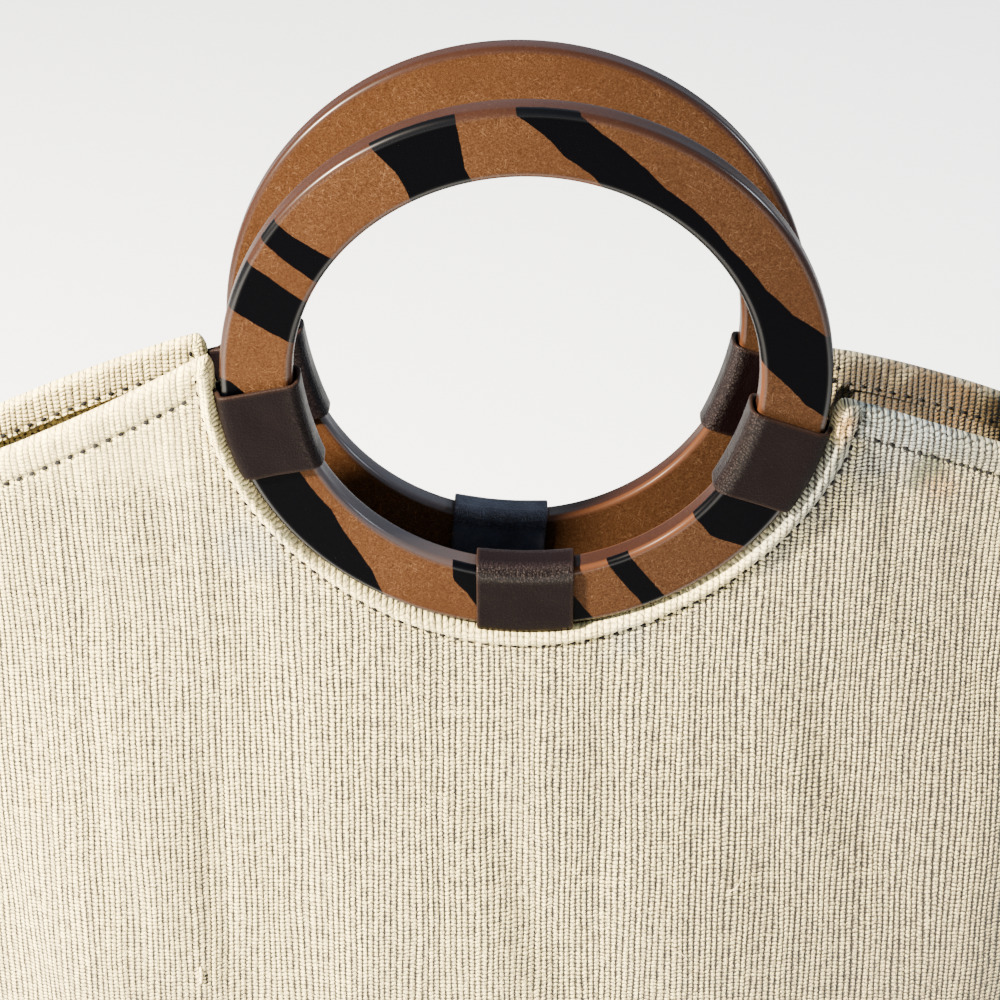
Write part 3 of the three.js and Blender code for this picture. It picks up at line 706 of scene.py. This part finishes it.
for side in ("front", "back"):
    lines = [(edge_line(side, CUTOUT_STITCH, 150, 60)[1], 1.5)]
    sides = edge_line(side, SHOULDER_STITCH, 150, 60)
    lines += [(sides[0], 0), (sides[2], 0)]
    points, outs, links = [], [], []
    for places, _ in lines:
        at, out = along_panel(side, places)
        for height, direction in ((HEM_PUFF - 0.34, 1), (-HEM_THICKNESS + HEM_PUFF + 0.34, -1)):
            start = sum(len(p) for p in points)
            points.append(at + out * height)
            outs.append(out * direction)
            links += [(start + k, start + k + 1) for k in range(len(at) - 1)]
    mesh = bpy.data.meshes.new("line")
    mesh.from_pydata((np.concatenate(points) * MM).tolist(), links, [])
    outward = mesh.attributes.new("outward", "FLOAT_VECTOR", "POINT")
    outward.data.foreach_set("vector", np.concatenate(outs).astype(np.float32).ravel())
    base = bpy.data.objects.new("line", mesh)
    bpy.context.scene.collection.objects.link(base)
    sewing = grown(f"hem_stitches_{side}", base, stitches)
    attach(sewing, "bag")

# Two short ends of yarn that have worked loose from the front panel and lie on it, and a thick place in
# one rib. They are cotton like the canvas, a few millimetres long.
fibre, tree, skin = material("loose_yarn")
place = add(tree, "ShaderNodeTexCoord").outputs["Object"]
END_DULL, END_LIGHT = (0.42, 0.31, 0.14, 1), (0.95, 0.80, 0.42, 1)
tint = blend(tree, ramp(tree, patches(tree, place, 900.0), 0.35, 0.65), END_DULL, END_LIGHT)
fill(tree, skin, {"Base Color": tint, "Roughness": 0.95})
# (s, v, height above the cloth) along each end, and its thickness
LOOSE_ENDS = [
    ([(61.2, 163.6, -0.1), (62.3, 165.0, 0.7), (63.6, 166.2, 1.1), (64.7, 167.4, 0.8), (65.6, 168.6, 0.1)], 0.26),
    ([(44.5, 146.4, -0.1), (46.4, 145.2, 0.5), (48.3, 144.3, 0.7), (49.6, 142.6, 0.2)], 0.2),
    ([(-97.8, 136.4, -0.3), (-97.6, 134.6, 0.25), (-97.7, 132.4, 0.3), (-97.9, 130.4, -0.3)], 0.95),
]


def yarn_end(number, route, thick):
    s, v, lift = np.array(route).T
    fine = np.linspace(0, len(s) - 1, 6 * (len(s) - 1) + 1)
    s, v, lift = (np.interp(fine, np.arange(len(s)), a) for a in (s, v, lift))
    points, out = along_panel("front", np.stack([s, v], axis=-1))
    points = points + out * (lift + HEM_PUFF)[:, None]
    along = np.gradient(points, axis=0)
    side_on = np.cross(along, out)
    side_on /= np.linalg.norm(side_on, axis=-1, keepdims=True)
    above = np.cross(side_on, along)
    above /= np.linalg.norm(above, axis=-1, keepdims=True)
    taper = thick / 2 * np.sqrt(np.clip(1.02 - np.linspace(-1, 1, len(points)) ** 4, 0, 1))
    round_it = np.arange(6) * math.pi / 3
    spread = side_on[:, None] * np.cos(round_it)[:, None] + above[:, None] * np.sin(round_it)[:, None]
    tube = points[:, None] + spread * taper[:, None, None]
    faces = grid_faces(len(points), 6, closed_columns=True)
    faces += [tuple(range(6))[::-1], tuple(range(len(points) * 6 - 6, len(points) * 6))]
    return mesh_object(f"loose_yarn_{number}", tube.reshape(-1, 3) * MM, faces)


for number, (route, thick) in enumerate(LOOSE_ENDS, 1):
    end = yarn_end(number, route, thick)
    end.data.materials.append(fibre)
    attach(end, "bag")

# The handles: two flat rings cut from dense fibrous board, stained orange brown and lacquered, with
# rounded edges. On the side that faces away from the bag, slanting black stripes are painted under the
# lacquer and run over the edges.
RING_HALF, RING_ROUND = 4.0, 1.8
# Stripe borders as (degrees round the ring, share of the width from bore to rim)
STRIPES = [
    [
        (101, -0.4), (103.6, 0.25), (103.2, 0.55), (102.6, 1.4), (120.6, 1.4), (117.4, 0.5), (117.4, 0.25),
        (118.8, -0.4),
    ],
    [(141.5, -0.4), (142.6, 0.3), (142.9, 0.67), (141.6, 1.4), (145.4, 1.4), (148.5, 0.58), (151, -0.4)],
    [(157.7, -0.4), (153.4, 0.67), (151.2, 1.4), (160.8, 1.4), (164.3, 0.71), (170.4, -0.4)],
    [
        (177.6, 1.4), (179, 0.86), (183.3, 0.56), (193, 0.38), (205.6, 0.27), (217.6, 0.25), (228.5, 0.46),
        (235, 0.64), (240.5, 0.95), (241, 1.4),
    ],
    [(248.6, -0.4), (252.7, 0.28), (256.7, 0.45), (260, 0.7), (263, 1.4), (287, 1.4), (281, 0.44), (272, -0.4)],
    [(290, -0.4), (293, 0.5), (294.3, 0.8), (294.8, 1.4), (300.4, 1.4), (298.4, 0.42), (296.4, -0.4)],
    [(318.8, -0.4), (316.5, 0.45), (319.8, 1.0), (320.5, 1.4), (336, 1.4), (334, 0.5), (329, -0.4)],
    [
        (452.8, 1.4), (452, 0.93), (446, 0.6), (442.3, 0.36), (435.7, 0.17), (430, -0.06), (424, -0.4),
        (372, -0.4), (368.5, -0.03), (364.8, 0.13), (361, 0.34), (356, 0.64), (353, 1.0), (352.6, 1.4),
        (370.4, 1.4), (371.6, 0.93), (378.1, 0.56), (386.2, 0.34), (399.3, 0.25), (410.5, 0.31),
        (420.3, 0.37), (429.1, 0.58), (436.2, 0.79), (440.6, 0.97), (441.4, 1.4),
    ],
]


def stripe_depth(degrees, share):
    """How deep places on the ring lie inside a stripe, mm, or below zero how far outside all of them."""
    middle = math.radians(1) * (RING_RADIUS + BORE_RADIUS) / 2
    wide = RING_RADIUS - BORE_RADIUS
    best = np.full(degrees.shape, -99.0)
    for stripe in STRIPES:
        border = np.array(stripe) * (middle, wide)
        for turn in (-360, 0, 360):
            px, py = (degrees + turn) * middle, share * wide
            near, inside = np.full(px.shape, 99.0), np.zeros(px.shape, bool)
            for (ax, ay), (bx, by) in zip(border, np.roll(border, -1, axis=0)):
                t = np.clip(((px - ax) * (bx - ax) + (py - ay) * (by - ay)) / ((bx - ax) ** 2 + (by - ay) ** 2), 0, 1)
                near = np.minimum(near, np.hypot(px - ax - t * (bx - ax), py - ay - t * (by - ay)))
                crosses = (ay > py) != (by > py)
                inside ^= crosses & (px < ax + (py - ay) * (bx - ax) / (by - ay + 1e-12))
            best = np.maximum(best, np.where(inside, near, -near))
    return best


def ring_profile():
    """The ring's section as (radius, y), from the bore over the painted side to the rim and back."""
    turn = np.radians(np.linspace(0, 90, 6))
    low, high = BORE_RADIUS + RING_ROUND, RING_RADIUS - RING_ROUND
    flat = np.linspace(low, high, 18)[1:-1]
    wall = np.linspace(-RING_HALF + RING_ROUND, RING_HALF - RING_ROUND, 6)[1:-1]
    edge = RING_HALF - RING_ROUND
    points = [(low - RING_ROUND * math.cos(t), -edge - RING_ROUND * math.sin(t)) for t in turn]
    points += [(r, -RING_HALF) for r in flat]
    points += [(high + RING_ROUND * math.sin(t), -edge - RING_ROUND * math.cos(t)) for t in turn]
    points += [(RING_RADIUS, y) for y in wall]
    points += [(high + RING_ROUND * math.cos(t), edge + RING_ROUND * math.sin(t)) for t in turn]
    points += [(r, RING_HALF) for r in flat[::-1]]
    points += [(low - RING_ROUND * math.sin(t), edge + RING_ROUND * math.cos(t)) for t in turn]
    points += [(BORE_RADIUS, y) for y in wall[::-1]]
    return np.array(points)


def ring_place(side):
    """The ring's own frame, in millimetres: its middle, its lean and which way its painted side faces."""
    sign = 1 if side == "front" else -1
    x, z = CENTRES[side]
    place = Matrix.Translation((x, -sign * HANDLE_SPACING / 2, z)) @ Matrix.Rotation(sign * LEAN, 4, "X")
    if side == "back":
        place = place @ Matrix.Rotation(math.pi, 4, "Z")
    return place


def moved(points, place):
    turn = np.array(place.to_3x3())
    return points @ turn.T + np.array(place.translation)


lacquer, tree, skin = material("lacquered_board")
BOARD_DARK, BOARD_LIGHT = (0.021, 0.0076, 0.0026, 1), (0.055, 0.0248, 0.0104, 1)
BOARD_CLOUD, BOARD_SHADED = (0.028, 0.0105, 0.0038, 1), (0.60, 0.64, 0.72, 1)
STRAND_LIGHT, STRAND_DARK = (0.125, 0.068, 0.034, 1), (0.010, 0.0034, 0.0014, 1)
RIM_BROWN, BORE_RUB_GLINT, BORE_SKY_REFLECTION = (0.0105, 0.0036, 0.0022, 1), (0.075, 0.027, 0.010, 1), (0.034, 0.029, 0.031, 1)
STRIPE_BLACK = (0.0002, 0.0002, 0.0005, 1)
place = add(tree, "ShaderNodeTexCoord").outputs["Object"]
split = add(tree, "ShaderNodeSeparateXYZ", {0: place}).outputs
fibres = patches(tree, stretched(tree, place, (1900, 1900, 1900)), 1.0, 4.0, 0.75)
brown = blend(tree, ramp(tree, fibres, 0.3, 0.72), BOARD_DARK, BOARD_LIGHT)
for seed, turned in enumerate((0.35, 1.45, 2.5)):
    links = {"Vector": place, "Location": (seed, 0, 0), "Rotation": (0, turned, 0)}
    lie = add(tree, "ShaderNodeMapping", links).outputs[0]
    strand = patches(tree, stretched(tree, lie, (480, 900, 3900)), 1.0, 2.0, 0.5)
    brown = blend(tree, ramp(tree, strand, 0.64, 0.74, 0.0, 0.55), brown, STRAND_LIGHT)
    brown = blend(tree, ramp(tree, strand, 0.36, 0.28, 0.0, 0.55), brown, STRAND_DARK)
clouds = patches(tree, place, 32.0, 4.0, 0.6)
brown = blend(tree, ramp(tree, clouds, 0.35, 0.7, 0.0, 0.45), brown, BOARD_CLOUD)
# painted shade: the board darker towards its right
brown = blend(tree, ramp(tree, split[0], -0.06, 0.075, 0.0, 1.0), brown, BOARD_SHADED, "MULTIPLY")
worn, rub_and_glint = mark(tree, "edge"), mark(tree, "rub_and_glint")
brown = blend(tree, times(tree, worn, 0.85), brown, RIM_BROWN)
# a worn reddish band on the bore's front edge, with a painted golden highlight where it is stronger on the right
brown = blend(tree, times(tree, rub_and_glint, 0.4), brown, BORE_RUB_GLINT)
# painted reflection: the bore's walls bluish grey at the lower left, where they would mirror the sky
sky_reflection = times(tree, ramp(tree, split[0], 0.02, -0.045), ramp(tree, split[2], 0.335, 0.30))
sky_reflection = times(tree, sky_reflection, ramp(tree, worn, 0.55, 1.0))
brown = blend(tree, times(tree, sky_reflection, 0.9), brown, BORE_SKY_REFLECTION)
brush = times(tree, sums(tree, "SUBTRACT", patches(tree, place, 420.0, 3.0), 0.5), 0.5)
paint = ramp(tree, plus(tree, mark(tree, "stripe"), brush), -0.08, 0.08)
shine = times(tree, ramp(tree, worn, 0.1, 0.6, 0.0, 0.4), ramp(tree, worn, 0.75, 1.0, 1.0, 0.55))
shine = times(tree, shine, sums(tree, "SUBTRACT", 1.0, times(tree, rub_and_glint, 0.75)))
fill(tree, skin, {
    "Base Color": blend(tree, paint, brown, STRIPE_BLACK), "Normal": bumps(tree, fibres, 0.3, 0.0002),
    "Roughness": ramp(tree, paint, 0.0, 1.0, 0.5, 0.4), "Specular IOR Level": 0.01,
    "Coat Weight": shine, "Coat Roughness": 0.26, "Coat IOR": 1.5,
})

RING_STEPS = 384


def ring(side):
    """One ring, with its stripes, its worn rims and the worn front edges of its bore, stronger on the right as a
    painted highlight, as marks on the points.
    """
    profile = ring_profile()
    round_it = np.arange(RING_STEPS) * 2 * math.pi / RING_STEPS
    r, y = profile[:, 0][:, None], profile[:, 1][:, None]
    worn_r = r + 0.05 * np.sin(5 * round_it + y) * np.sign(r - 72)
    across = worn_r * np.cos(round_it)
    points = np.stack(np.broadcast_arrays(across, y, worn_r * np.sin(round_it)), axis=-1)
    from_bore, wide = r - BORE_RADIUS, RING_RADIUS - BORE_RADIUS
    share = np.clip(from_bore / wide, 0, 1)
    stripe = stripe_depth(*np.broadcast_arrays(np.degrees(round_it), share))
    stripe = np.minimum(stripe, -(RING_HALF - RING_ROUND) - y + 0.25)
    edge = smooth(RING_ROUND + 0.5, RING_ROUND * 0.35, np.minimum(from_bore, wide - from_bore))
    # worn reddish all round the bore's front edge; on the right the band is stronger, a painted golden highlight
    rub_and_glint = smooth(1.6, 0.8, from_bore) * smooth(RING_HALF - RING_ROUND, RING_HALF - 1.1, np.abs(y))
    rub_and_glint = rub_and_glint * (1 - 0.6 * smooth(10, -40, across * (1 if side == "front" else -1)))
    walk = np.concatenate([[0], np.cumsum(np.hypot(*np.diff(profile, axis=0).T))])
    arc = round_it * (RING_RADIUS + BORE_RADIUS) / 2
    uv = np.stack(np.broadcast_arrays(arc, walk[:, None]), axis=-1) * MM
    faces = grid_faces(len(profile), RING_STEPS, closed_rows=True, closed_columns=True, flip=True)
    marks = {"stripe": stripe, "edge": np.broadcast_to(edge, stripe.shape), "rub_and_glint": rub_and_glint}
    places = moved(points.reshape(-1, 3), ring_place(side)) * MM
    return mesh_object(f"ring_{side}", places, faces, uv.reshape(-1, 2), marks)


for side in ("front", "back"):
    handle = ring(side)
    handle.data.materials.append(lacquer)
    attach(handle, f"{side}_handle")
    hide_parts(f"handle_{side}")

# The straps: strips of smooth dark brown leather, three to each ring. Each is folded loosely round the
# ring, and its two ends lie on each other inside the hem, where the hem's stitches hold them.
STRAP_WIDTH, STRAP_THICKNESS, STRAP_TAIL = 27.5, 1.3, 6.0


def smooth_line(points, steps):
    """A smooth line through points, with steps between each two."""
    points = np.asarray(points, float)
    padded = np.concatenate([[2 * points[0] - points[1]], points, [2 * points[-1] - points[-2]]])
    t = np.linspace(0, 1, steps, endpoint=False)[:, None]
    line = [
        0.5 * (2 * b + (c - a) * t + (2 * a - 5 * b + 4 * c - d) * t**2 + (3 * b - a - 3 * c + d) * t**3)
        for a, b, c, d in zip(padded, padded[1:], padded[2:], padded[3:])
    ]
    return np.concatenate([*line, points[-1:]])


def hem_middle(side, degrees, r, w):
    """Where the middle of the hem is, as a depth in the ring's frame."""
    own = math.radians(degrees if side == "front" else 180 - degrees)
    point = np.array([r * math.cos(own) - w * math.sin(own), 0, r * math.sin(own) + w * math.cos(own)])
    x, y, z = moved(point, ring_place(side))
    power = float(body_value(2, np.array(z)))
    share = min(1, abs(x) / np.interp(z, *HALF_WIDTHS))
    depth = float(half_depth(np.array(z))) * (1 - share**power) ** (1 / power)
    return abs(y) - (depth + HEM_PUFF - HEM_THICKNESS / 2)


leather, tree, skin = material("brown_leather")
HIDE_BROWN, HIDE_SKY_LIT = (0.0014, 0.0004, 0.0005, 1), (0.030, 0.032, 0.043, 1)
HIDE_MOTTLE, HIDE_GLINT = (0.0022, 0.0009, 0.0010, 1), (0.018, 0.0132, 0.0118, 1)
HIDE_TOP_LIT, HIDE_CUT = (0.014, 0.0098, 0.0112, 1), (0.020, 0.011, 0.008, 1)
uv = add(tree, "ShaderNodeUVMap", uv_map="UVMap").outputs[0]
place = add(tree, "ShaderNodeTexCoord").outputs["Object"]
links = {"Vector": place, "Scale": 1150.0}
pores = add(tree, "ShaderNodeTexVoronoi", links, feature="DISTANCE_TO_EDGE").outputs["Distance"]
mottled = patches(tree, place, 120.0, 4.0, 0.6)
creased = patches(tree, stretched(tree, uv, (750, 2100, 1)), 1.0, 2.0, 0.6)
fold = mark(tree, "fold")
# painted glints on the creases of the bends
glint = ramp(tree, plus(tree, creased, ramp(tree, pores, 0.0, 0.3, -0.12, 0.12)), 0.42, 0.66)
glint = times(tree, ramp(tree, fold, 0.12, 0.8), glint)
# painted bluish sky light, mostly on the back middle strap, paler than its own brown
hide = blend(tree, mark(tree, "tone"), HIDE_BROWN, HIDE_SKY_LIT)
hide = blend(tree, ramp(tree, mottled, 0.4, 0.75, 0.0, 0.4), hide, HIDE_MOTTLE)
hide = blend(tree, times(tree, glint, 0.8), hide, HIDE_GLINT)
# painted light: the strap paler on its top over the bore
hide = blend(tree, mark(tree, "top_lit"), hide, HIDE_TOP_LIT)
hide = blend(tree, times(tree, mark(tree, "cut"), 0.5), hide, HIDE_CUT)
height = times(tree, ramp(tree, pores, 0.0, 0.25), plus(tree, 0.1, times(tree, fold, 0.9)))
height = plus(tree, height, times(tree, times(tree, creased, fold), 3.0))
fill(tree, skin, {
    "Base Color": hide, "Normal": bumps(tree, height, 0.7, 0.00035),
    "Roughness": ramp(tree, mottled, 0.3, 0.8, 0.4, 0.56), "Specular IOR Level": 0.03,
    "Coat Weight": ramp(tree, fold, 0.15, 1.0, 0.0, 0.10), "Coat Roughness": 0.3,
})

# how much painted bluish sky light each strap has, how much painted light on its top over the bore, and how creased
# at its bends, with painted glints there: left, middle, right
STRAP_LIGHT_AND_CREASES = {
    "front": ((0.0, 0.0, 0.25), (0.0, 1.0, 1.0), (0.0, 0.25, 0.65)),
    "back": ((0.04, 0.0, 0.35), (1.0, 0.0, 1.0), (0.0, 0.25, 0.65)),
}
# places across the strap, where its edges are thinned, and the share of the thickness there
HALF_STRAP = STRAP_WIDTH / 2
EDGE_STEPS = np.array([HALF_STRAP, HALF_STRAP - 0.12, HALF_STRAP - 0.45])
ACROSS = np.concatenate([-EDGE_STEPS, np.linspace(1.2 - HALF_STRAP, HALF_STRAP - 1.2, 13), EDGE_STEPS[::-1]])
THINNED = np.array([0.4, 0.8, 1.0, *[1.0] * 13, 1.0, 0.8, 0.4])


def strap_line(side, degrees, w):
    """The middle of the strap's thickness at w across it, as (radius, y) in the ring's frame."""
    end = cutout_radius(side, np.array(degrees - 270)) + STRAP_TAIL
    rim = math.sqrt(RING_RADIUS**2 - w * w) - RING_RADIUS
    bore = 0.6 * (math.sqrt(BORE_RADIUS**2 - w * w) - BORE_RADIUS) - 0.6
    hem_in, hem_out = (hem_middle(side, degrees, r, w) for r in (84.5, 89.0))
    wave = 0.25 * math.sin(w / 3.1 + degrees)
    face = [
        (end, hem_out - 0.55), (86.4, hem_in - 0.6), (84.6 + 0.3 * rim, hem_in - 1.1),
        (83.7 + rim, hem_in * 0.4 - 2.8), (82.9 + rim, -4.35), (81.4 + rim, -5.2), (78, -5.3),
        (73, -5.15 + wave * 0.6), (67.5, -5.2), (64.2 + bore, -5.15 - 0.1 * wave), (62.5 + bore, -4.5),
        (61.75 + bore, -2.9 + 0.2 * wave), (61.6 + bore, 0),
    ]
    behind = [(r, -y) for r, y in face[-2:3:-1]]
    behind += [(83.7 + rim, hem_in * 0.4 + 2.8), (84.6 + 0.3 * rim, hem_in + 1.1), (86.4, hem_in + 0.6)]
    return smooth_line(face + behind + [(end, hem_out + 0.55)], 5)


def strap(side, name, degrees, tone, top_light, crease_and_glint):
    """One strap: its outer and inner faces follow its line, and its two ends are closed by cut faces."""
    own = math.radians(degrees if side == "front" else 180 - degrees)
    faces_of = {1: [], -1: []}
    for w, share in zip(ACROSS, THINNED):
        line = strap_line(side, degrees, w)
        along = np.gradient(line, axis=0)
        side_on = np.stack([along[:, 1], -along[:, 0]], axis=-1) / np.linalg.norm(along, axis=-1, keepdims=True)
        walk = np.concatenate([[0], np.cumsum(np.linalg.norm(np.diff(line, axis=0), axis=-1))])
        ends = smooth(6, 2, walk) + smooth(walk[-1] - 6, walk[-1] - 2, walk)
        thick = STRAP_THICKNESS / 2 * share * (1 - 0.25 * ends)
        bent = np.exp(-(((line[:, 0] - 62.4) / 1.9) ** 2)) * (np.abs(line[:, 1]) > 2)
        ripple = 0.07 * bent * np.sin(walk * 5.2 + 0.8 * math.sin(w * 0.9 + degrees))
        for sign, rows in faces_of.items():
            part = line + side_on * ((thick + ripple) * sign)[:, None]
            x = part[:, 0] * math.cos(own) - w * math.sin(own)
            z = part[:, 0] * math.sin(own) + w * math.cos(own)
            rows.append(np.stack([x, part[:, 1], z], axis=-1))
    loop = np.concatenate([np.array(faces_of[1]), np.array(faces_of[-1])[::-1]])
    steps, last = loop.shape[1], len(loop) - 1
    faces = grid_faces(len(loop), steps, closed_rows=True)
    for at in (0, steps - 1):
        for j in range(len(ACROSS) - 1):
            quad = [k * steps + at for k in (j, j + 1, last - 1 - j, last - j)]
            faces.append(quad[::-1] if at else quad)
    wide = np.concatenate([ACROSS, ACROSS[::-1]])
    uv = np.stack(np.broadcast_arrays(walk[None, :], wide[:, None]), axis=-1) * MM
    on_bore = np.exp(-(((line[:, 0] - 61.4) / 0.9) ** 2)) * smooth(-4.6, -3.4, line[:, 1])
    marks = {
        "tone": np.array(tone), "cut": smooth(HALF_STRAP - 0.7, HALF_STRAP - 0.1, np.abs(wide))[:, None],
        "fold": (crease_and_glint * bent + 0.12)[None, :], "top_lit": (top_light * on_bore)[None, :],
    }
    marks = {key: np.broadcast_to(value, uv.shape[:2]) for key, value in marks.items()}
    places = moved(loop.reshape(-1, 3), ring_place(side)) * MM
    return mesh_object(f"strap_{side}_{name}_leather", places, faces, uv.reshape(-1, 2), marks)


for side in ("front", "back"):
    for name, degrees, light_and_creases in zip(("left", "middle", "right"), STRAP_PLACES[side], STRAP_LIGHT_AND_CREASES[side]):
        loop = strap(side, name, degrees, *light_and_creases)
        loop.data.materials.append(leather)
        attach(loop, "bag")
        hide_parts(f"strap_{side}_{name}")

# The studio: a pale floor that reaches out of the picture, a soft warm key light from the front left, a
# cool sky above and behind, and the camera where the photograph's was.
FLOOR_REACH, FLOOR_LEVEL = 4, -0.0003
corners = [(x * FLOOR_REACH, y * FLOOR_REACH, FLOOR_LEVEL) for x, y in ((-1, -1), (1, -1), (1, 1), (-1, 1))]
floor = mesh_object("studio_floor", corners, [(0, 1, 2, 3)], closed=False)
paper, tree, skin = material("white_paper")
place = add(tree, "ShaderNodeTexCoord").outputs["Object"]
tint = blend(tree, patches(tree, place, 3.0), (0.86, 0.89, 0.93, 1), (0.90, 0.92, 0.95, 1))
fill(tree, skin, {"Base Color": tint, "Roughness": 0.9})
floor.data.materials.append(paper)
floor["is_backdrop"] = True


def soft_light(name, place, target, size, power, colour):
    lamp = bpy.data.lights.new(name, "AREA")
    lamp.shape = "DISK"
    lamp.size = size
    lamp.energy = power
    lamp.color = colour
    shown = bpy.data.objects.new(name, lamp)
    turn = (Vector(target) - Vector(place)).to_track_quat("-Z", "Y")
    shown.matrix_world = Matrix.Translation(place) @ turn.to_matrix().to_4x4()
    bpy.context.scene.collection.objects.link(shown)


soft_light("key_light", (-1.15, -0.55, 1.05), (0, 0, 0.23), 0.15, 352, (1.0, 0.89, 0.72))
soft_light("sky_light", (0.5, 2.1, 1.7), (0, 0, 0.3), 2.6, 16, (0.66, 0.78, 1.0))
soft_light("rim_light", (1.3, 0.3, 0.85), (0, 0, 0.36), 0.22, 30, (0.78, 0.88, 1.0))
world = bpy.data.worlds.new("studio_air")
world.use_nodes = True
fill(world.node_tree, world.node_tree.nodes["Background"], {"Color": (0.76, 0.87, 1.0, 1), "Strength": 1.05})
bpy.context.scene.world = world

lens = bpy.data.cameras.new("camera")
lens.lens = 93.6
lens.sensor_width = 36
lens.clip_start = 0.05
camera = bpy.data.objects.new("camera", lens)
eye = Vector((0.0007, -0.6287, 0.6808))
ahead = Vector((-0.0108, 0.8421, -0.5391)).normalized()
right = ahead.cross(Vector((0, 0, 1))).normalized()
up = right.cross(ahead)
turn = Matrix((right, up, -ahead)).transposed().to_4x4()
camera.matrix_world = Matrix.Translation(eye) @ turn
bpy.context.scene.collection.objects.link(camera)
bpy.context.scene.camera = camera

low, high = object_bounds()
